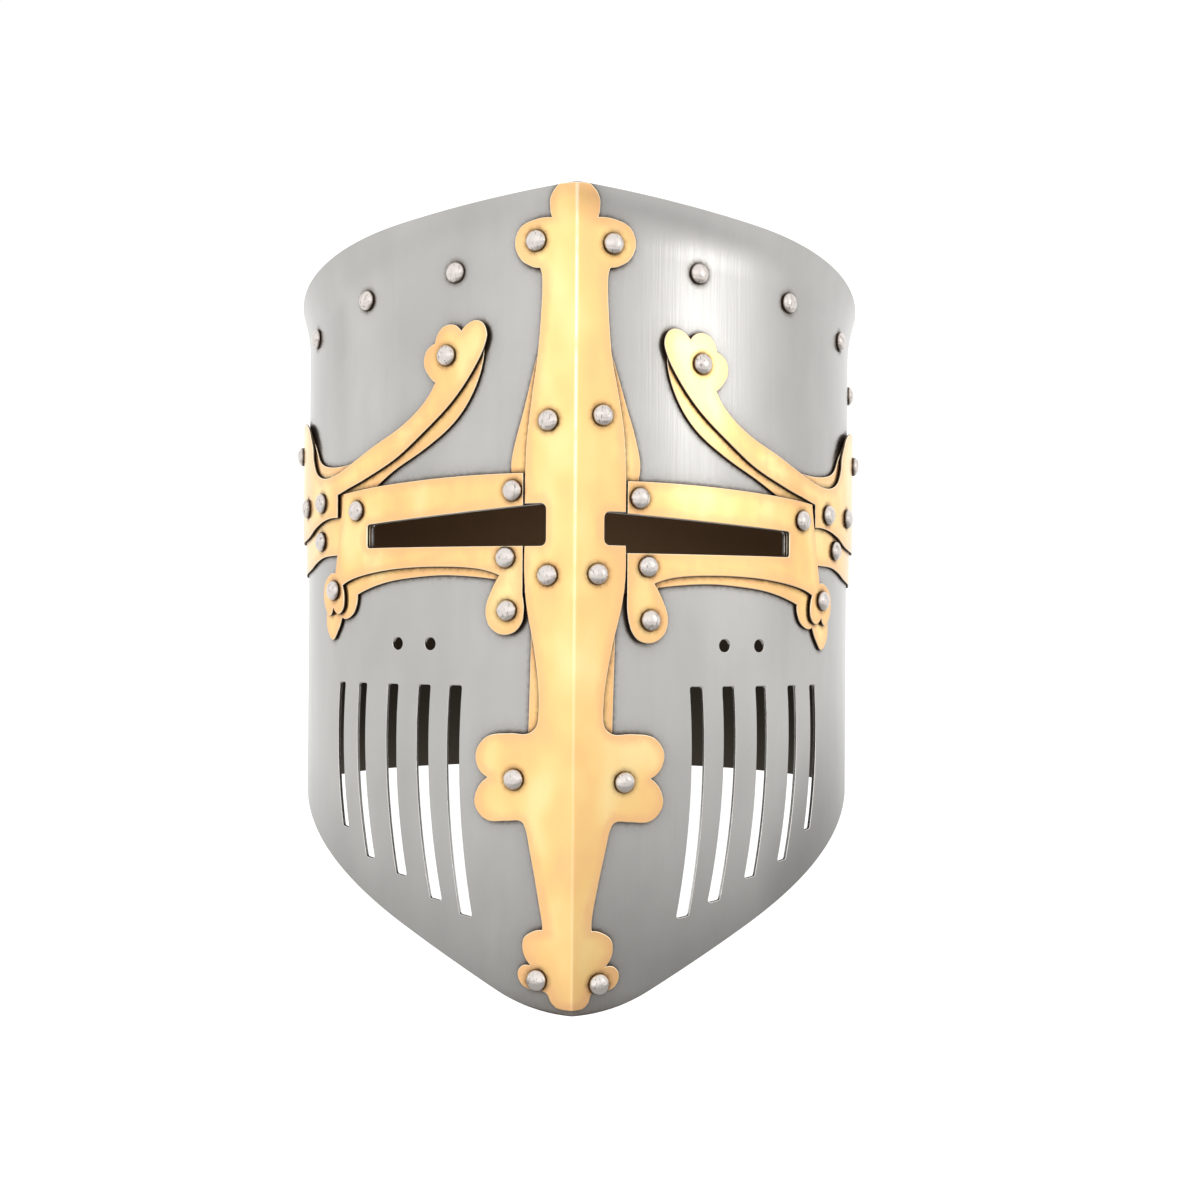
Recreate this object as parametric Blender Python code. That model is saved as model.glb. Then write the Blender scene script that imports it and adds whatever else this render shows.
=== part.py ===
"""Pot helmet (great helm) of riveted steel plates with brass trim, standing at rest.

Every plate is made as a smith makes it: a flat blank is cut to its outline, bent round the
plan curve of the helm and laid in its own layer. A blank is drawn in millimetres as
(along, height): along runs round the wall from the front ridge, height runs up from the chin
point. Left and right are as seen from the front, which faces -Y. The finished helm leans back
until it stands on its chin point and its nape.
"""
import math
from typing import NamedTuple

import bmesh
import bpy
from mathutils import Matrix, Vector

MM = 0.001

# Plan curve of the steel's outer face, from the front ridge round to the nape, in millimetres.
RIDGE_HEADING = math.radians(19.5)
CHEEK_ARC = (334.0, math.radians(13.0), 4)
TEMPLE_ARC = (112.0, math.radians(57.5), 12)
SIDE_ARC = (300.0, math.radians(6.5), 2)
NAPE_FACETS = 14

# Heights above the chin point, in millimetres.
RIDGE_TOP = 315.0
TOP_SLOPE = 0.249
RIM_HEIGHT = 77.0
CHIN_SLOPE = 0.495
CHIN_RADIUS = 72.0
JAW_RADIUS = 40.0

# The top edge of the wall is flared outward.
FLARE_OUT = 3.4
FLARE_DEPTH = 22.0
FLARE_ROWS = (7.0, 14.0, 22.0)

# Sheet thicknesses, and the layers as (inner, outer) offsets from the steel's outer face.
STEEL = 1.5
UNDER_BRASS = 0.9
TOP_BRASS = 1.0
GAP = 0.3
FACE_LAYER = (-STEEL, 0.0)
BACK_LAYER = (-2 * STEEL - GAP, -STEEL - GAP)
UNDER_LAYER = (GAP, GAP + UNDER_BRASS)
TOP_LAYER = (2 * GAP + UNDER_BRASS, 2 * GAP + UNDER_BRASS + TOP_BRASS)

# The side seam, where the face plate overlaps the back plate.
FACE_END = 206.0
BACK_START = 190.0

# The crown plate, set inside the rim with its edge turned down.
CROWN_DROP = 3.0
CROWN_FLANGE = 33.0
CROWN_BEND = 3.0
CROWN_CHAMFER = 0.9
JOGGLE_START = 175.0

# Sight slots: how near the ridge they begin, where the trim's own edges meet them, and fillets.
SIGHT_INNER = 11.0
BAR_EDGE = 19.8
BAR_UNDERLAY_EDGE = 25.8
FRAME_EDGE = 20.4
ARM_EDGE = 26.3
SIGHT_INNER_FILLET = 2.2
SIGHT_OUTER_FILLET = 1.2

# Breath slots as (top, bend, foot, foot height, width): where the middle of the slot runs at its
# top, at the bend and at its foot.
BREATH_SLOTS = (
    (51.4, 52.5, 45.9, 35.0, 5.6),
    (66.3, 67.2, 60.0, 40.2, 5.6),
    (82.3, 83.2, 77.2, 48.5, 5.3),
    (100.2, 101.1, 94.6, 54.0, 5.1),
    (115.0, 116.1, 111.6, 65.2, 4.5),
)
BREATH_TOP = 124.3
BREATH_BEND = 95.0
BREATH_STEPS = 4
BREATH_FOOT_SLOPE = 0.15
VENT_HEIGHT = 140.4
VENT_RADIUS = 2.5
VENT_SIDES = 8

# Rivets: dome heads.
RIVET_RADIUS = 4.2
RIVET_HEIGHT = 2.9
RIVET_SIDES = 10
RIVET_RINGS = 3
RING_DROP = 24.5
RING_RIVETS = (52.0, 97.7, 143.4, 248.0, 307.0, 366.0)

# The helm stands on its chin point and its nape.
REST_LEAN = math.radians(16.35)

# The ridge bar was set by eye: (height, along) of its middle.
BAR_DRIFT = (
    (0.0, -0.5),
    (12.0, -1.5),
    (40.0, -2.5),
    (88.0, -2.0),
    (130.0, -0.8),
    (150.0, -0.4),
    (165.0, 0.0),
    (225.0, 0.0),
    (250.0, -0.7),
    (290.0, -0.7),
    (318.0, -1.0),
)


class Side(NamedTuple):
    """How one side of the face was cut and set: no two sides of a hand-made helm agree."""

    name: str
    sign: float
    frame_along: float
    branch_along: float
    trim_height: float
    sight_outer: float
    sight_top: tuple
    sight_bottom: tuple
    notch: tuple
    breath_spread: float
    vents: tuple


SIDES = (
    Side(
        name="left", sign=-1.0, frame_along=-0.8, branch_along=-0.4, trim_height=1.3,
        sight_outer=94.0, sight_top=(194.1, 187.9), sight_bottom=(178.0, 178.6),
        notch=(194.1, 178.0), breath_spread=0.988, vents=(63.0, 79.1),
    ),
    Side(
        name="right", sign=1.0, frame_along=0.8, branch_along=-1.3, trim_height=-1.6,
        sight_outer=96.4, sight_top=(191.0, 186.3), sight_bottom=(175.5, 176.2),
        notch=(191.0, 178.4), breath_spread=1.012, vents=(65.2, 82.4),
    ),
)

# Outline rows are (along, height, turn): turn is a corner's fillet radius, or FLOW where the
# edge runs through the point smoothly. A fillet's facets stray from its arc by FILLET_SAG.
FLOW = -1.0
SHARP = 0.0
SPAN_STEPS = 2
FILLET_SAG = 0.1

# The arm underlay goes with the branch above this height and with the sight frame below it.
BRANCH_LINE = 205.0

RIDGE_BAR_UPPER = (
    (4.2, 314.0, SHARP),
    (8.2, 309.6, FLOW),
    (8.8, 305.0, FLOW),
    (8.3, 302.2, SHARP),
    (15.0, 301.9, FLOW),
    (21.4, 299.3, FLOW),
    (23.9, 293.4, FLOW),
    (21.6, 287.4, FLOW),
    (17.0, 284.2, FLOW),
    (13.4, 283.4, SHARP),
    (12.5, 279.0, FLOW),
    (12.9, 266.0, FLOW),
    (14.3, 250.0, FLOW),
    (16.7, 236.0, FLOW),
    (19.0, 220.0, FLOW),
    (19.8, 204.0, FLOW),
)

RIDGE_BAR_LOWER = (
    (19.8, 166.0, FLOW),
    (18.4, 154.0, FLOW),
    (15.2, 140.0, FLOW),
    (12.7, 124.0, FLOW),
    (12.4, 112.0, FLOW),
    (13.6, 108.6, FLOW),
    (17.0, 106.5, FLOW),
    (24.0, 106.6, FLOW),
    (33.4, 105.2, FLOW),
    (38.2, 99.6, FLOW),
    (37.4, 93.2, FLOW),
    (33.0, 89.3, SHARP),
    (37.4, 84.6, FLOW),
    (38.2, 78.2, FLOW),
    (33.0, 72.9, FLOW),
    (24.0, 72.9, FLOW),
    (18.5, 73.0, FLOW),
    (16.4, 70.0, FLOW),
    (15.0, 64.0, FLOW),
    (12.0, 50.0, FLOW),
    (9.4, 36.0, FLOW),
    (9.2, 32.4, SHARP),
    (13.0, 31.6, FLOW),
    (17.0, 28.6, FLOW),
    (17.4, 23.4, FLOW),
    (14.6, 18.7, SHARP),
    (18.0, 18.2, FLOW),
    (19.9, 15.0, FLOW),
    (18.2, 11.0, FLOW),
    (14.4, 9.2, FLOW),
    (10.2, 9.2, SHARP),
    (8.0, 8.0, FLOW),
    (6.8, 5.2, FLOW),
    (3.9, 2.9, FLOW),
)

RIDGE_UNDERLAY_UPPER = (
    (12.0, 256.0, 2.0),
    (15.2, 249.5, FLOW),
    (17.8, 241.0, FLOW),
    (20.8, 230.5, FLOW),
    (23.9, 220.5, FLOW),
    (26.2, 210.5, FLOW),
    (25.8, 204.6, SHARP),
    (25.8, 201.5, SHARP),
)

RIDGE_UNDERLAY_LOWER = (
    (25.8, 163.0, SHARP),
    (17.6, 157.0, FLOW),
    (16.8, 150.0, SHARP),
    (16.8, 98.0, 2.0),
)

SIGHT_FRAME = (
    (20.4, 204.6, SHARP),
    (50.0, 204.2, FLOW),
    (82.0, 202.4, FLOW),
    (110.8, 199.9, SHARP),
    (113.6, 184.0, FLOW),
    (117.0, 167.8, SHARP),
    (121.8, 167.2, FLOW),
    (126.4, 163.4, FLOW),
    (127.2, 157.4, FLOW),
    (124.6, 152.2, FLOW),
    (121.0, 150.4, FLOW),
    (118.6, 153.6, SHARP),
    (114.6, 150.9, FLOW),
    (110.8, 152.8, FLOW),
    (109.9, 157.4, FLOW),
    (111.2, 162.6, SHARP),
    (104.0, 165.0, FLOW),
    (91.0, 167.3, FLOW),
    (76.0, 168.8, FLOW),
    (58.0, 169.2, FLOW),
    (41.0, 168.2, FLOW),
    (31.2, 165.6, SHARP),
    (34.6, 159.8, FLOW),
    (37.0, 153.2, FLOW),
    (36.2, 147.4, FLOW),
    (32.8, 143.8, FLOW),
    (28.4, 142.7, FLOW),
    (23.8, 144.3, FLOW),
    (20.9, 149.0, FLOW),
    (20.4, 158.0, SHARP),
)

ARM_UNDERLAY = (
    (26.3, 202.4, SHARP),
    (50.0, 202.0, FLOW),
    (78.0, 200.6, FLOW),
    (94.0, 199.4, SHARP),
    (82.0, 207.2, FLOW),
    (65.5, 215.8, FLOW),
    (52.5, 224.8, FLOW),
    (44.3, 235.0, FLOW),
    (39.2, 247.8, FLOW),
    (39.6, 256.6, FLOW),
    (45.0, 258.4, FLOW),
    (53.0, 257.0, FLOW),
    (58.6, 250.0, FLOW),
    (58.8, 240.0, FLOW),
    (65.0, 231.2, FLOW),
    (76.0, 223.0, FLOW),
    (89.5, 216.4, FLOW),
    (101.0, 213.2, FLOW),
    (114.0, 211.6, FLOW),
    (127.0, 212.4, FLOW),
    (135.5, 215.2, FLOW),
    (141.6, 221.6, FLOW),
    (147.6, 225.8, FLOW),
    (156.0, 230.6, FLOW),
    (170.0, 232.0, FLOW),
    (184.0, 230.6, FLOW),
    (192.4, 224.6, FLOW),
    (196.2, 216.0, SHARP),
    (202.4, 206.0, FLOW),
    (203.0, 195.0, FLOW),
    (199.4, 185.4, FLOW),
    (192.0, 180.6, SHARP),
    (193.6, 174.0, FLOW),
    (190.0, 170.0, FLOW),
    (182.0, 167.6, FLOW),
    (172.0, 168.4, FLOW),
    (160.0, 169.0, FLOW),
    (149.0, 170.4, FLOW),
    (140.0, 172.8, FLOW),
    (131.0, 174.6, FLOW),
    (123.0, 175.0, FLOW),
    (115.9, 175.0, SHARP),
    (117.0, 169.6, SHARP),
    (118.8, 165.6, SHARP),
    (124.0, 163.0, FLOW),
    (126.2, 155.0, FLOW),
    (127.0, 146.4, FLOW),
    (121.6, 140.3, FLOW),
    (116.8, 143.8, FLOW),
    (113.4, 149.4, SHARP),
    (109.6, 148.9, FLOW),
    (105.0, 151.0, FLOW),
    (102.8, 154.6, FLOW),
    (102.2, 158.7, SHARP),
    (86.0, 163.2, FLOW),
    (70.0, 165.2, FLOW),
    (54.0, 165.8, FLOW),
    (33.2, 164.0, SHARP),
    (34.8, 156.0, FLOW),
    (34.2, 149.4, FLOW),
    (28.6, 145.2, SHARP),
    (26.3, 146.6, SHARP),
)

SIDE_BRANCH = (
    (115.2, 190.4, SHARP),
    (115.2, 199.8, SHARP),
    (108.0, 201.6, FLOW),
    (96.0, 205.2, FLOW),
    (80.0, 212.0, FLOW),
    (67.0, 221.0, FLOW),
    (53.0, 232.6, FLOW),
    (43.0, 244.8, FLOW),
    (37.0, 256.6, FLOW),
    (38.2, 262.6, FLOW),
    (42.8, 264.2, FLOW),
    (48.2, 260.6, SHARP),
    (52.2, 263.4, FLOW),
    (57.4, 262.2, FLOW),
    (60.4, 256.6, SHARP),
    (64.6, 253.6, FLOW),
    (65.6, 248.6, FLOW),
    (63.4, 244.2, FLOW),
    (60.2, 241.2, SHARP),
    (66.4, 232.8, FLOW),
    (77.4, 224.6, FLOW),
    (91.0, 218.2, FLOW),
    (104.0, 212.4, FLOW),
    (116.0, 208.4, FLOW),
    (127.0, 207.4, FLOW),
    (136.4, 210.2, FLOW),
    (141.4, 216.4, FLOW),
    (142.6, 221.4, FLOW),
    (146.4, 226.6, SHARP),
    (150.6, 230.8, FLOW),
    (159.0, 233.7, FLOW),
    (170.0, 234.2, FLOW),
    (181.0, 233.7, FLOW),
    (189.4, 230.8, FLOW),
    (193.6, 226.6, SHARP),
    (197.8, 221.8, FLOW),
    (198.4, 215.8, FLOW),
    (192.6, 210.6, SHARP),
    (198.4, 206.4, FLOW),
    (200.0, 197.4, FLOW),
    (196.4, 190.4, FLOW),
    (188.0, 188.4, SHARP),
    (186.8, 184.4, FLOW),
    (180.0, 182.0, FLOW),
    (170.0, 182.6, FLOW),
    (158.0, 182.8, FLOW),
    (147.0, 184.2, FLOW),
    (139.0, 186.8, FLOW),
    (130.0, 189.2, FLOW),
    (122.0, 190.4, FLOW),
)

# Rivets through the brass as (name, left along, left height, right along, right height, offset
# of their sheet); no two pairs are set quite alike.
BRASS_RIVETS = (
    ("brow", 15.6, 293.8, 13.8, 292.7, TOP_LAYER[1]),
    ("forehead", 10.2, 225.4, 9.9, 227.4, TOP_LAYER[1]),
    ("nose", 10.1, 166.8, 8.3, 167.3, TOP_LAYER[1]),
    ("cross", 23.5, 88.9, 19.8, 88.2, TOP_LAYER[1]),
    ("chin", 13.4, 13.2, 9.9, 12.1, TOP_LAYER[1]),
    ("frame_top", 24.9, 199.2, 25.5, 196.6, TOP_LAYER[1]),
    ("frame_outer", 100.4, 193.9, 104.4, 191.2, TOP_LAYER[1]),
    ("frame_inner", 27.6, 173.7, 29.1, 170.6, TOP_LAYER[1]),
    ("frame_tab", 26.9, 153.4, 30.2, 150.0, TOP_LAYER[1]),
    ("frame_corner", 116.6, 161.9, 119.8, 159.0, TOP_LAYER[1]),
    ("branch_tip", 54.4, 252.7, 52.2, 249.8, TOP_LAYER[1]),
    ("branch_front", 128.6, 198.4, 124.4, 194.6, TOP_LAYER[1]),
    ("branch_side", 149.2, 197.5, 148.3, 194.6, TOP_LAYER[1]),
    ("branch_finial", 170.6, 221.9, 169.7, 219.0, TOP_LAYER[1]),
    ("arm", 131.8, 182.6, 134.8, 180.3, UNDER_LAYER[1]),
)

# Rivets of the side seam, where the back plate lies under the face plate.
SEAM_RIVETS = (("seam_upper", 200.0, 150.0), ("seam_lower", 200.0, 100.0))

# The one ring rivet set by eye on each side, as (name, along, height).
TEMPLE_RIVETS = (("left", -200.0, 255.7), ("right", 177.0, 251.0))

MATERIALS = {
    "steel": ((0.56, 0.55, 0.53, 1.0), 0.32),
    "brass": ((0.87, 0.66, 0.28, 1.0), 0.26),
    "rivet_steel": ((0.66, 0.65, 0.64, 1.0), 0.30),
}


class PlanCurve:
    """The plan of the wall as stations, flat between them, from the ridge to the nape."""

    def __init__(self):
        """Lay the arcs end to end; the last one closes the curve square to the middle."""
        self.stations = [(0.0, 0.0, 0.0, RIDGE_HEADING)]
        for radius, turn, facets in (CHEEK_ARC, TEMPLE_ARC, SIDE_ARC):
            self._add_arc(radius, turn, facets)
        _, half_width, _, heading = self.stations[-1]
        self._add_arc(half_width / math.sin(heading), math.pi - heading, NAPE_FACETS)
        self.length = self.stations[-1][0]
        near = [station[0] for station in self.stations]
        self.places = [-along for along in near[:0:-1]] + near
        self.places += [2 * self.length - along for along in near[-2::-1]]

    def _add_arc(self, radius, turn, facets):
        """Add the stations of one arc, tangent to the one before."""
        along, x, y, heading = self.stations[-1]
        for step in range(1, facets + 1):
            end = heading + turn * step / facets
            self.stations.append((
                along + radius * (end - heading),
                x + radius * (math.sin(end) - math.sin(heading)),
                y + radius * (math.cos(heading) - math.cos(end)),
                end,
            ))

    def at(self, along, offset):
        """Return x and y of a point on the faceted wall, moved outward by the offset."""
        if along > self.length:
            along -= 2 * self.length
        side = math.copysign(1.0, along)
        along = min(abs(along), self.length)
        for near, far in zip(self.stations, self.stations[1:]):
            if along <= far[0] + 1e-6:
                break
        share = (along - near[0]) / (far[0] - near[0])
        (x0, y0), (x1, y1) = self._moved(near, offset), self._moved(far, offset)
        return Vector((side * (x0 + share * (x1 - x0)), y0 + share * (y1 - y0)))

    @staticmethod
    def _moved(station, offset):
        """Return a station's point moved along its normal; at the ridge the two sides mitre."""
        along, x, y, heading = station
        if along == 0.0:
            return 0.0, -offset / math.cos(RIDGE_HEADING)
        return x + offset * math.sin(heading), y - offset * math.cos(heading)

    def outward(self, along):
        """Return the outward direction at a distance along the wall."""
        step = self.at(along + 0.5, 0.0) - self.at(along - 0.5, 0.0)
        return Vector((step.y, -step.x, 0.0)).normalized()


PLAN = PlanCurve()


def top_height(along):
    """Return the height of the sloping top edge at a distance along the wall."""
    return RIDGE_TOP - TOP_SLOPE * PLAN.at(along, 0.0).y


def flare(drop):
    """Return how far the wall stands out at a depth below the top edge."""
    return FLARE_OUT * max(0.0, 1.0 - drop / FLARE_DEPTH) ** 2


def wall_point(along, offset, height):
    """Return the point of the bent wall, in millimetres, for a place on the flat blank."""
    out = offset + flare(top_height(along) - height)
    x, y = PLAN.at(along, out)
    return Vector((x, y, height))


def fillet(before, corner, after, radius):
    """Return the points of a round of the given radius that replaces a corner."""
    back = (before - corner).normalized()
    ahead = (after - corner).normalized()
    half = 0.5 * back.angle(ahead)
    reach = radius / math.tan(half)
    centre = corner + (back + ahead).normalized() * radius / math.sin(half)
    start = corner + back * reach - centre
    sweep = start.angle_signed(corner + ahead * reach - centre)
    steps = math.ceil(abs(sweep) / (2 * math.acos(1 - FILLET_SAG / radius)))
    return [centre + Matrix.Rotation(-sweep * step / steps, 2) @ start for step in range(steps + 1)]


def trace(rows):
    """Return the points of a closed outline drawn through its rows."""
    spots = [Vector(row[:2]) for row in rows]
    count = len(rows)
    headings = [(spots[(i + 1) % count] - spots[i - 1]).normalized() for i in range(count)]
    points = []
    for i, (_, _, turn) in enumerate(rows):
        following = (i + 1) % count
        here, there = spots[i], spots[following]
        if turn > 0.0:
            points += fillet(spots[i - 1], here, there, turn)
        else:
            points.append(here)
        chord = there - here
        leave = headings[i] if turn == FLOW else None
        arrive = headings[following] if rows[following][2] == FLOW else None
        if leave is None and arrive is None:
            continue
        leave = leave if leave is not None else (2 * chord.normalized() - arrive).normalized()
        arrive = arrive if arrive is not None else (2 * chord.normalized() - leave).normalized()
        for step in range(1, SPAN_STEPS):
            t = step / SPAN_STEPS
            points.append(
                here * (1 + 2 * t) * (1 - t) ** 2
                + there * t * t * (3 - 2 * t)
                + leave * chord.length * t * (1 - t) ** 2
                - arrive * chord.length * t * t * (1 - t)
            )
    return points


def mirrored(points):
    """Return an outline turned over to the other side of the ridge."""
    return [Vector((-p.x, p.y)) for p in reversed(points)]


def between(table, key):
    """Return the value of a two-column table at a key, straight between its rows."""
    for (low, before), (high, after) in zip(table, table[1:]):
        if key <= high:
            break
    return before + (after - before) * (key - low) / (high - low)


def across_ridge(upper, lower, edge, notches):
    """Return the outline of a piece that straddles the ridge, notched on each side."""
    left, right = (
        upper + (
            (edge, top, SHARP),
            (SIGHT_INNER, top, SIGHT_INNER_FILLET),
            (SIGHT_INNER, bottom, SIGHT_INNER_FILLET),
            (edge, bottom, SHARP),
        ) + lower
        for top, bottom in notches
    )
    other = tuple((-along, height, turn) for along, height, turn in reversed(left))
    return [Vector((p.x + between(BAR_DRIFT, p.y), p.y)) for p in trace(right + other)]


def sight_rows(side, edge, fillet_radius):
    """Return the rows of one sight slot, from below its inner end round to above it."""
    rows = []
    share = (edge - SIGHT_INNER) / (side.sight_outer - SIGHT_INNER)
    for near, far in (side.sight_bottom, side.sight_top):
        rows += [
            (edge, near + (far - near) * share, fillet_radius),
            (side.sight_outer, far, SIGHT_OUTER_FILLET),
        ]
    return tuple(rows[:2] + rows[:1:-1])


def set_by_hand(rows, side, edge, line):
    """Return one side's outline rows where the trim was set; its inner edge stays put.

    Rows above the line were set along the wall with the branch, those below with the frame.
    """
    placed = []
    for along, height, turn in rows:
        shift = side.branch_along if height > line else side.frame_along
        placed.append((along + (shift if along > edge else 0.0), height + side.trim_height, turn))
    return tuple(placed)


def chin_edge(along):
    """Return the height of the straight part of the lower front edge."""
    return CHIN_SLOPE * abs(along) - CHIN_RADIUS * (math.hypot(1.0, CHIN_SLOPE) - 1.0)


def breath_slot(top, bend, foot, foot_height, width):
    """Return the outline of one breath slot, bowed through its three middles."""
    inner, outer = [], []
    upper_lean = (bend - top) / (BREATH_BEND - BREATH_TOP)
    lower_lean = (foot - bend) / (foot_height - BREATH_BEND)
    bow = (lower_lean - upper_lean) / (foot_height - BREATH_TOP)
    for step in range(BREATH_STEPS + 1):
        down = step / BREATH_STEPS
        height = BREATH_TOP + (foot_height - BREATH_TOP) * down
        middle = top + (height - BREATH_TOP) * (upper_lean + bow * (height - BREATH_BEND))
        slant = BREATH_FOOT_SLOPE * width / 2 * down
        inner.append(Vector((middle - width / 2, height - slant)))
        outer.append(Vector((middle + width / 2, height + slant)))
    return outer[:1] + inner + outer[:0:-1]


def vent_hole(along):
    """Return the outline of one round hole in the cheek."""
    angles = [2 * math.pi * k / VENT_SIDES for k in range(VENT_SIDES)]
    return [
        Vector((along + VENT_RADIUS * math.cos(a), VENT_HEIGHT + VENT_RADIUS * math.sin(a)))
        for a in angles
    ]


def face_holes():
    """Return every opening of the face plate, on both sides."""
    holes = []
    for side in SIDES:
        cut = [trace(sight_rows(side, SIGHT_INNER, SIGHT_INNER_FILLET))]
        for top, bend, foot, foot_height, width in BREATH_SLOTS:
            middles = (place * side.breath_spread for place in (top, bend, foot))
            cut.append(breath_slot(*middles, foot_height, width))
        cut += [vent_hole(along) for along in side.vents]
        holes += [mirrored(hole) for hole in cut] if side.sign < 0.0 else cut
    return holes


def score(bm, point, normal, clear=False):
    """Score a bend line into a flat blank, and clear away what lies beyond it if asked."""
    result = bmesh.ops.bisect_plane(
        bm, geom=bm.verts[:] + bm.edges[:] + bm.faces[:], dist=1e-3,
        plane_co=point, plane_no=normal, clear_outer=clear,
    )
    for item in result["geom_cut"]:
        if isinstance(item, bmesh.types.BMEdge):
            item.seam = True


def flat_blank(outline, holes):
    """Return a flat sheet with holes, as a mesh in the plane of along and height."""
    bm = bmesh.new()
    for loop in [outline] + holes:
        verts = [bm.verts.new((p.x, 0.0, p.y)) for p in loop]
        for a, b in zip(verts, verts[1:] + verts[:1]):
            bm.edges.new((a, b))
    bmesh.ops.triangle_fill(bm, edges=bm.edges[:], use_beauty=True, normal=(0, -1, 0))
    return bm


def bend_plate(name, outline, layer, material, holes=()):
    """Cut a blank, bend it round the wall and thicken it outward to fill its layer."""
    bm = flat_blank(outline, list(holes))
    for place in PLAN.places:
        score(bm, (place, 0, 0), (1, 0, 0))
    # The sheet is sheared so that its sloping top edge is level while the flare is cut.
    for vert in bm.verts:
        vert.co.z += RIDGE_TOP - top_height(vert.co.x)
    score(bm, (0, 0, RIDGE_TOP), (0, 0, 1), clear=True)
    for drop in FLARE_ROWS:
        score(bm, (0, 0, RIDGE_TOP - drop), (0, 0, 1))
    for vert in bm.verts:
        vert.co.z -= RIDGE_TOP - top_height(vert.co.x)
    bmesh.ops.dissolve_limit(
        bm, angle_limit=math.radians(0.5), verts=bm.verts[:], edges=bm.edges[:], delimit={"SEAM"},
    )
    bmesh.ops.recalc_face_normals(bm, faces=bm.faces[:])
    if bm.faces[0].normal.y > 0:
        bmesh.ops.reverse_faces(bm, faces=bm.faces[:])
    inner, outer = layer
    grown = bmesh.ops.extrude_face_region(bm, geom=bm.faces[:])["geom"]
    outside = {item for item in grown if isinstance(item, bmesh.types.BMVert)}
    for vert in bm.verts:
        offset = outer if vert in outside else inner
        vert.co = wall_point(vert.co.x, offset, vert.co.z) * MM
    return finish(name, bm, material)


def finish(name, bm, material):
    """Turn a mesh under construction into a named object of one material."""
    bmesh.ops.triangulate(bm, faces=bm.faces[:])
    bmesh.ops.recalc_face_normals(bm, faces=bm.faces[:])
    mesh = bpy.data.meshes.new(name)
    bm.to_mesh(mesh)
    bm.free()
    mesh.materials.append(material)
    mesh.shade_smooth()
    mesh.set_sharp_from_angle(angle=math.radians(35))
    piece = bpy.data.objects.new(name, mesh)
    bpy.context.scene.collection.objects.link(piece)
    return piece


def make_material(name):
    """Return a metal with the colour and roughness of its table row."""
    colour, roughness = MATERIALS[name]
    material = bpy.data.materials.new(name)
    material.use_nodes = True
    shader = material.node_tree.nodes["Principled BSDF"]
    shader.inputs["Base Color"].default_value = colour
    shader.inputs["Roughness"].default_value = roughness
    shader.inputs["Metallic"].default_value = 1.0
    material.diffuse_color = colour
    return material


def make_wall(material):
    """Make the face plate, dipping to the chin point, and the back plate inside its ends."""
    above = RIDGE_TOP + FLARE_DEPTH
    jaw = (RIM_HEIGHT - chin_edge(0.0)) / CHIN_SLOPE
    face = trace((
        (FACE_END, above, SHARP),
        (FACE_END, RIM_HEIGHT, SHARP),
        (jaw, RIM_HEIGHT, JAW_RADIUS),
        (0.0, chin_edge(0.0), CHIN_RADIUS),
        (-jaw, RIM_HEIGHT, JAW_RADIUS),
        (-FACE_END, RIM_HEIGHT, SHARP),
        (-FACE_END, above, SHARP),
    ))
    back_end = 2 * PLAN.length - BACK_START
    back = trace((
        (BACK_START, above, SHARP),
        (BACK_START, RIM_HEIGHT, SHARP),
        (back_end, RIM_HEIGHT, SHARP),
        (back_end, above, SHARP),
    ))
    return [
        bend_plate("face_plate", face, FACE_LAYER, material, face_holes()),
        bend_plate("back_plate", back, BACK_LAYER, material),
    ]


def crown_ring(bm, inset, drop, level):
    """Add one closed ring of the crown's corners; a level one lies in the plane of its top."""
    verts = []
    for along in PLAN.places[len(PLAN.stations) - 1:-1]:
        side = min(along, 2 * PLAN.length - along)
        joggle = min(1.0, max(0.0, (side - JOGGLE_START) / (BACK_START - JOGGLE_START)))
        offset = FACE_LAYER[0] - GAP - joggle * (STEEL + GAP) - inset
        x, y = PLAN.at(along, offset)
        height = RIDGE_TOP - TOP_SLOPE * y if level else top_height(along)
        verts.append(bm.verts.new(Vector((x, y, height - drop)) * MM))
    return verts


def make_crown(material):
    """Make the flat crown plate with its flange turned down inside the wall."""
    bm = bmesh.new()
    profile = (
        (CROWN_BEND, CROWN_DROP, True),
        (CROWN_CHAMFER, CROWN_DROP + CROWN_CHAMFER, True),
        (0.0, CROWN_DROP + CROWN_BEND, True),
        (0.0, CROWN_FLANGE, False),
        (STEEL, CROWN_FLANGE, False),
        (STEEL, CROWN_DROP + CROWN_BEND, True),
        (CROWN_BEND, CROWN_DROP + STEEL, True),
    )
    rings = [crown_ring(bm, *row) for row in profile]
    for near, far in zip(rings, rings[1:]):
        for k, corner in enumerate(near):
            bm.faces.new((near[k - 1], corner, far[k], far[k - 1]))
    bm.faces.new(rings[0])
    bm.faces.new(rings[-1])
    return finish("crown", bm, material)


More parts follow.
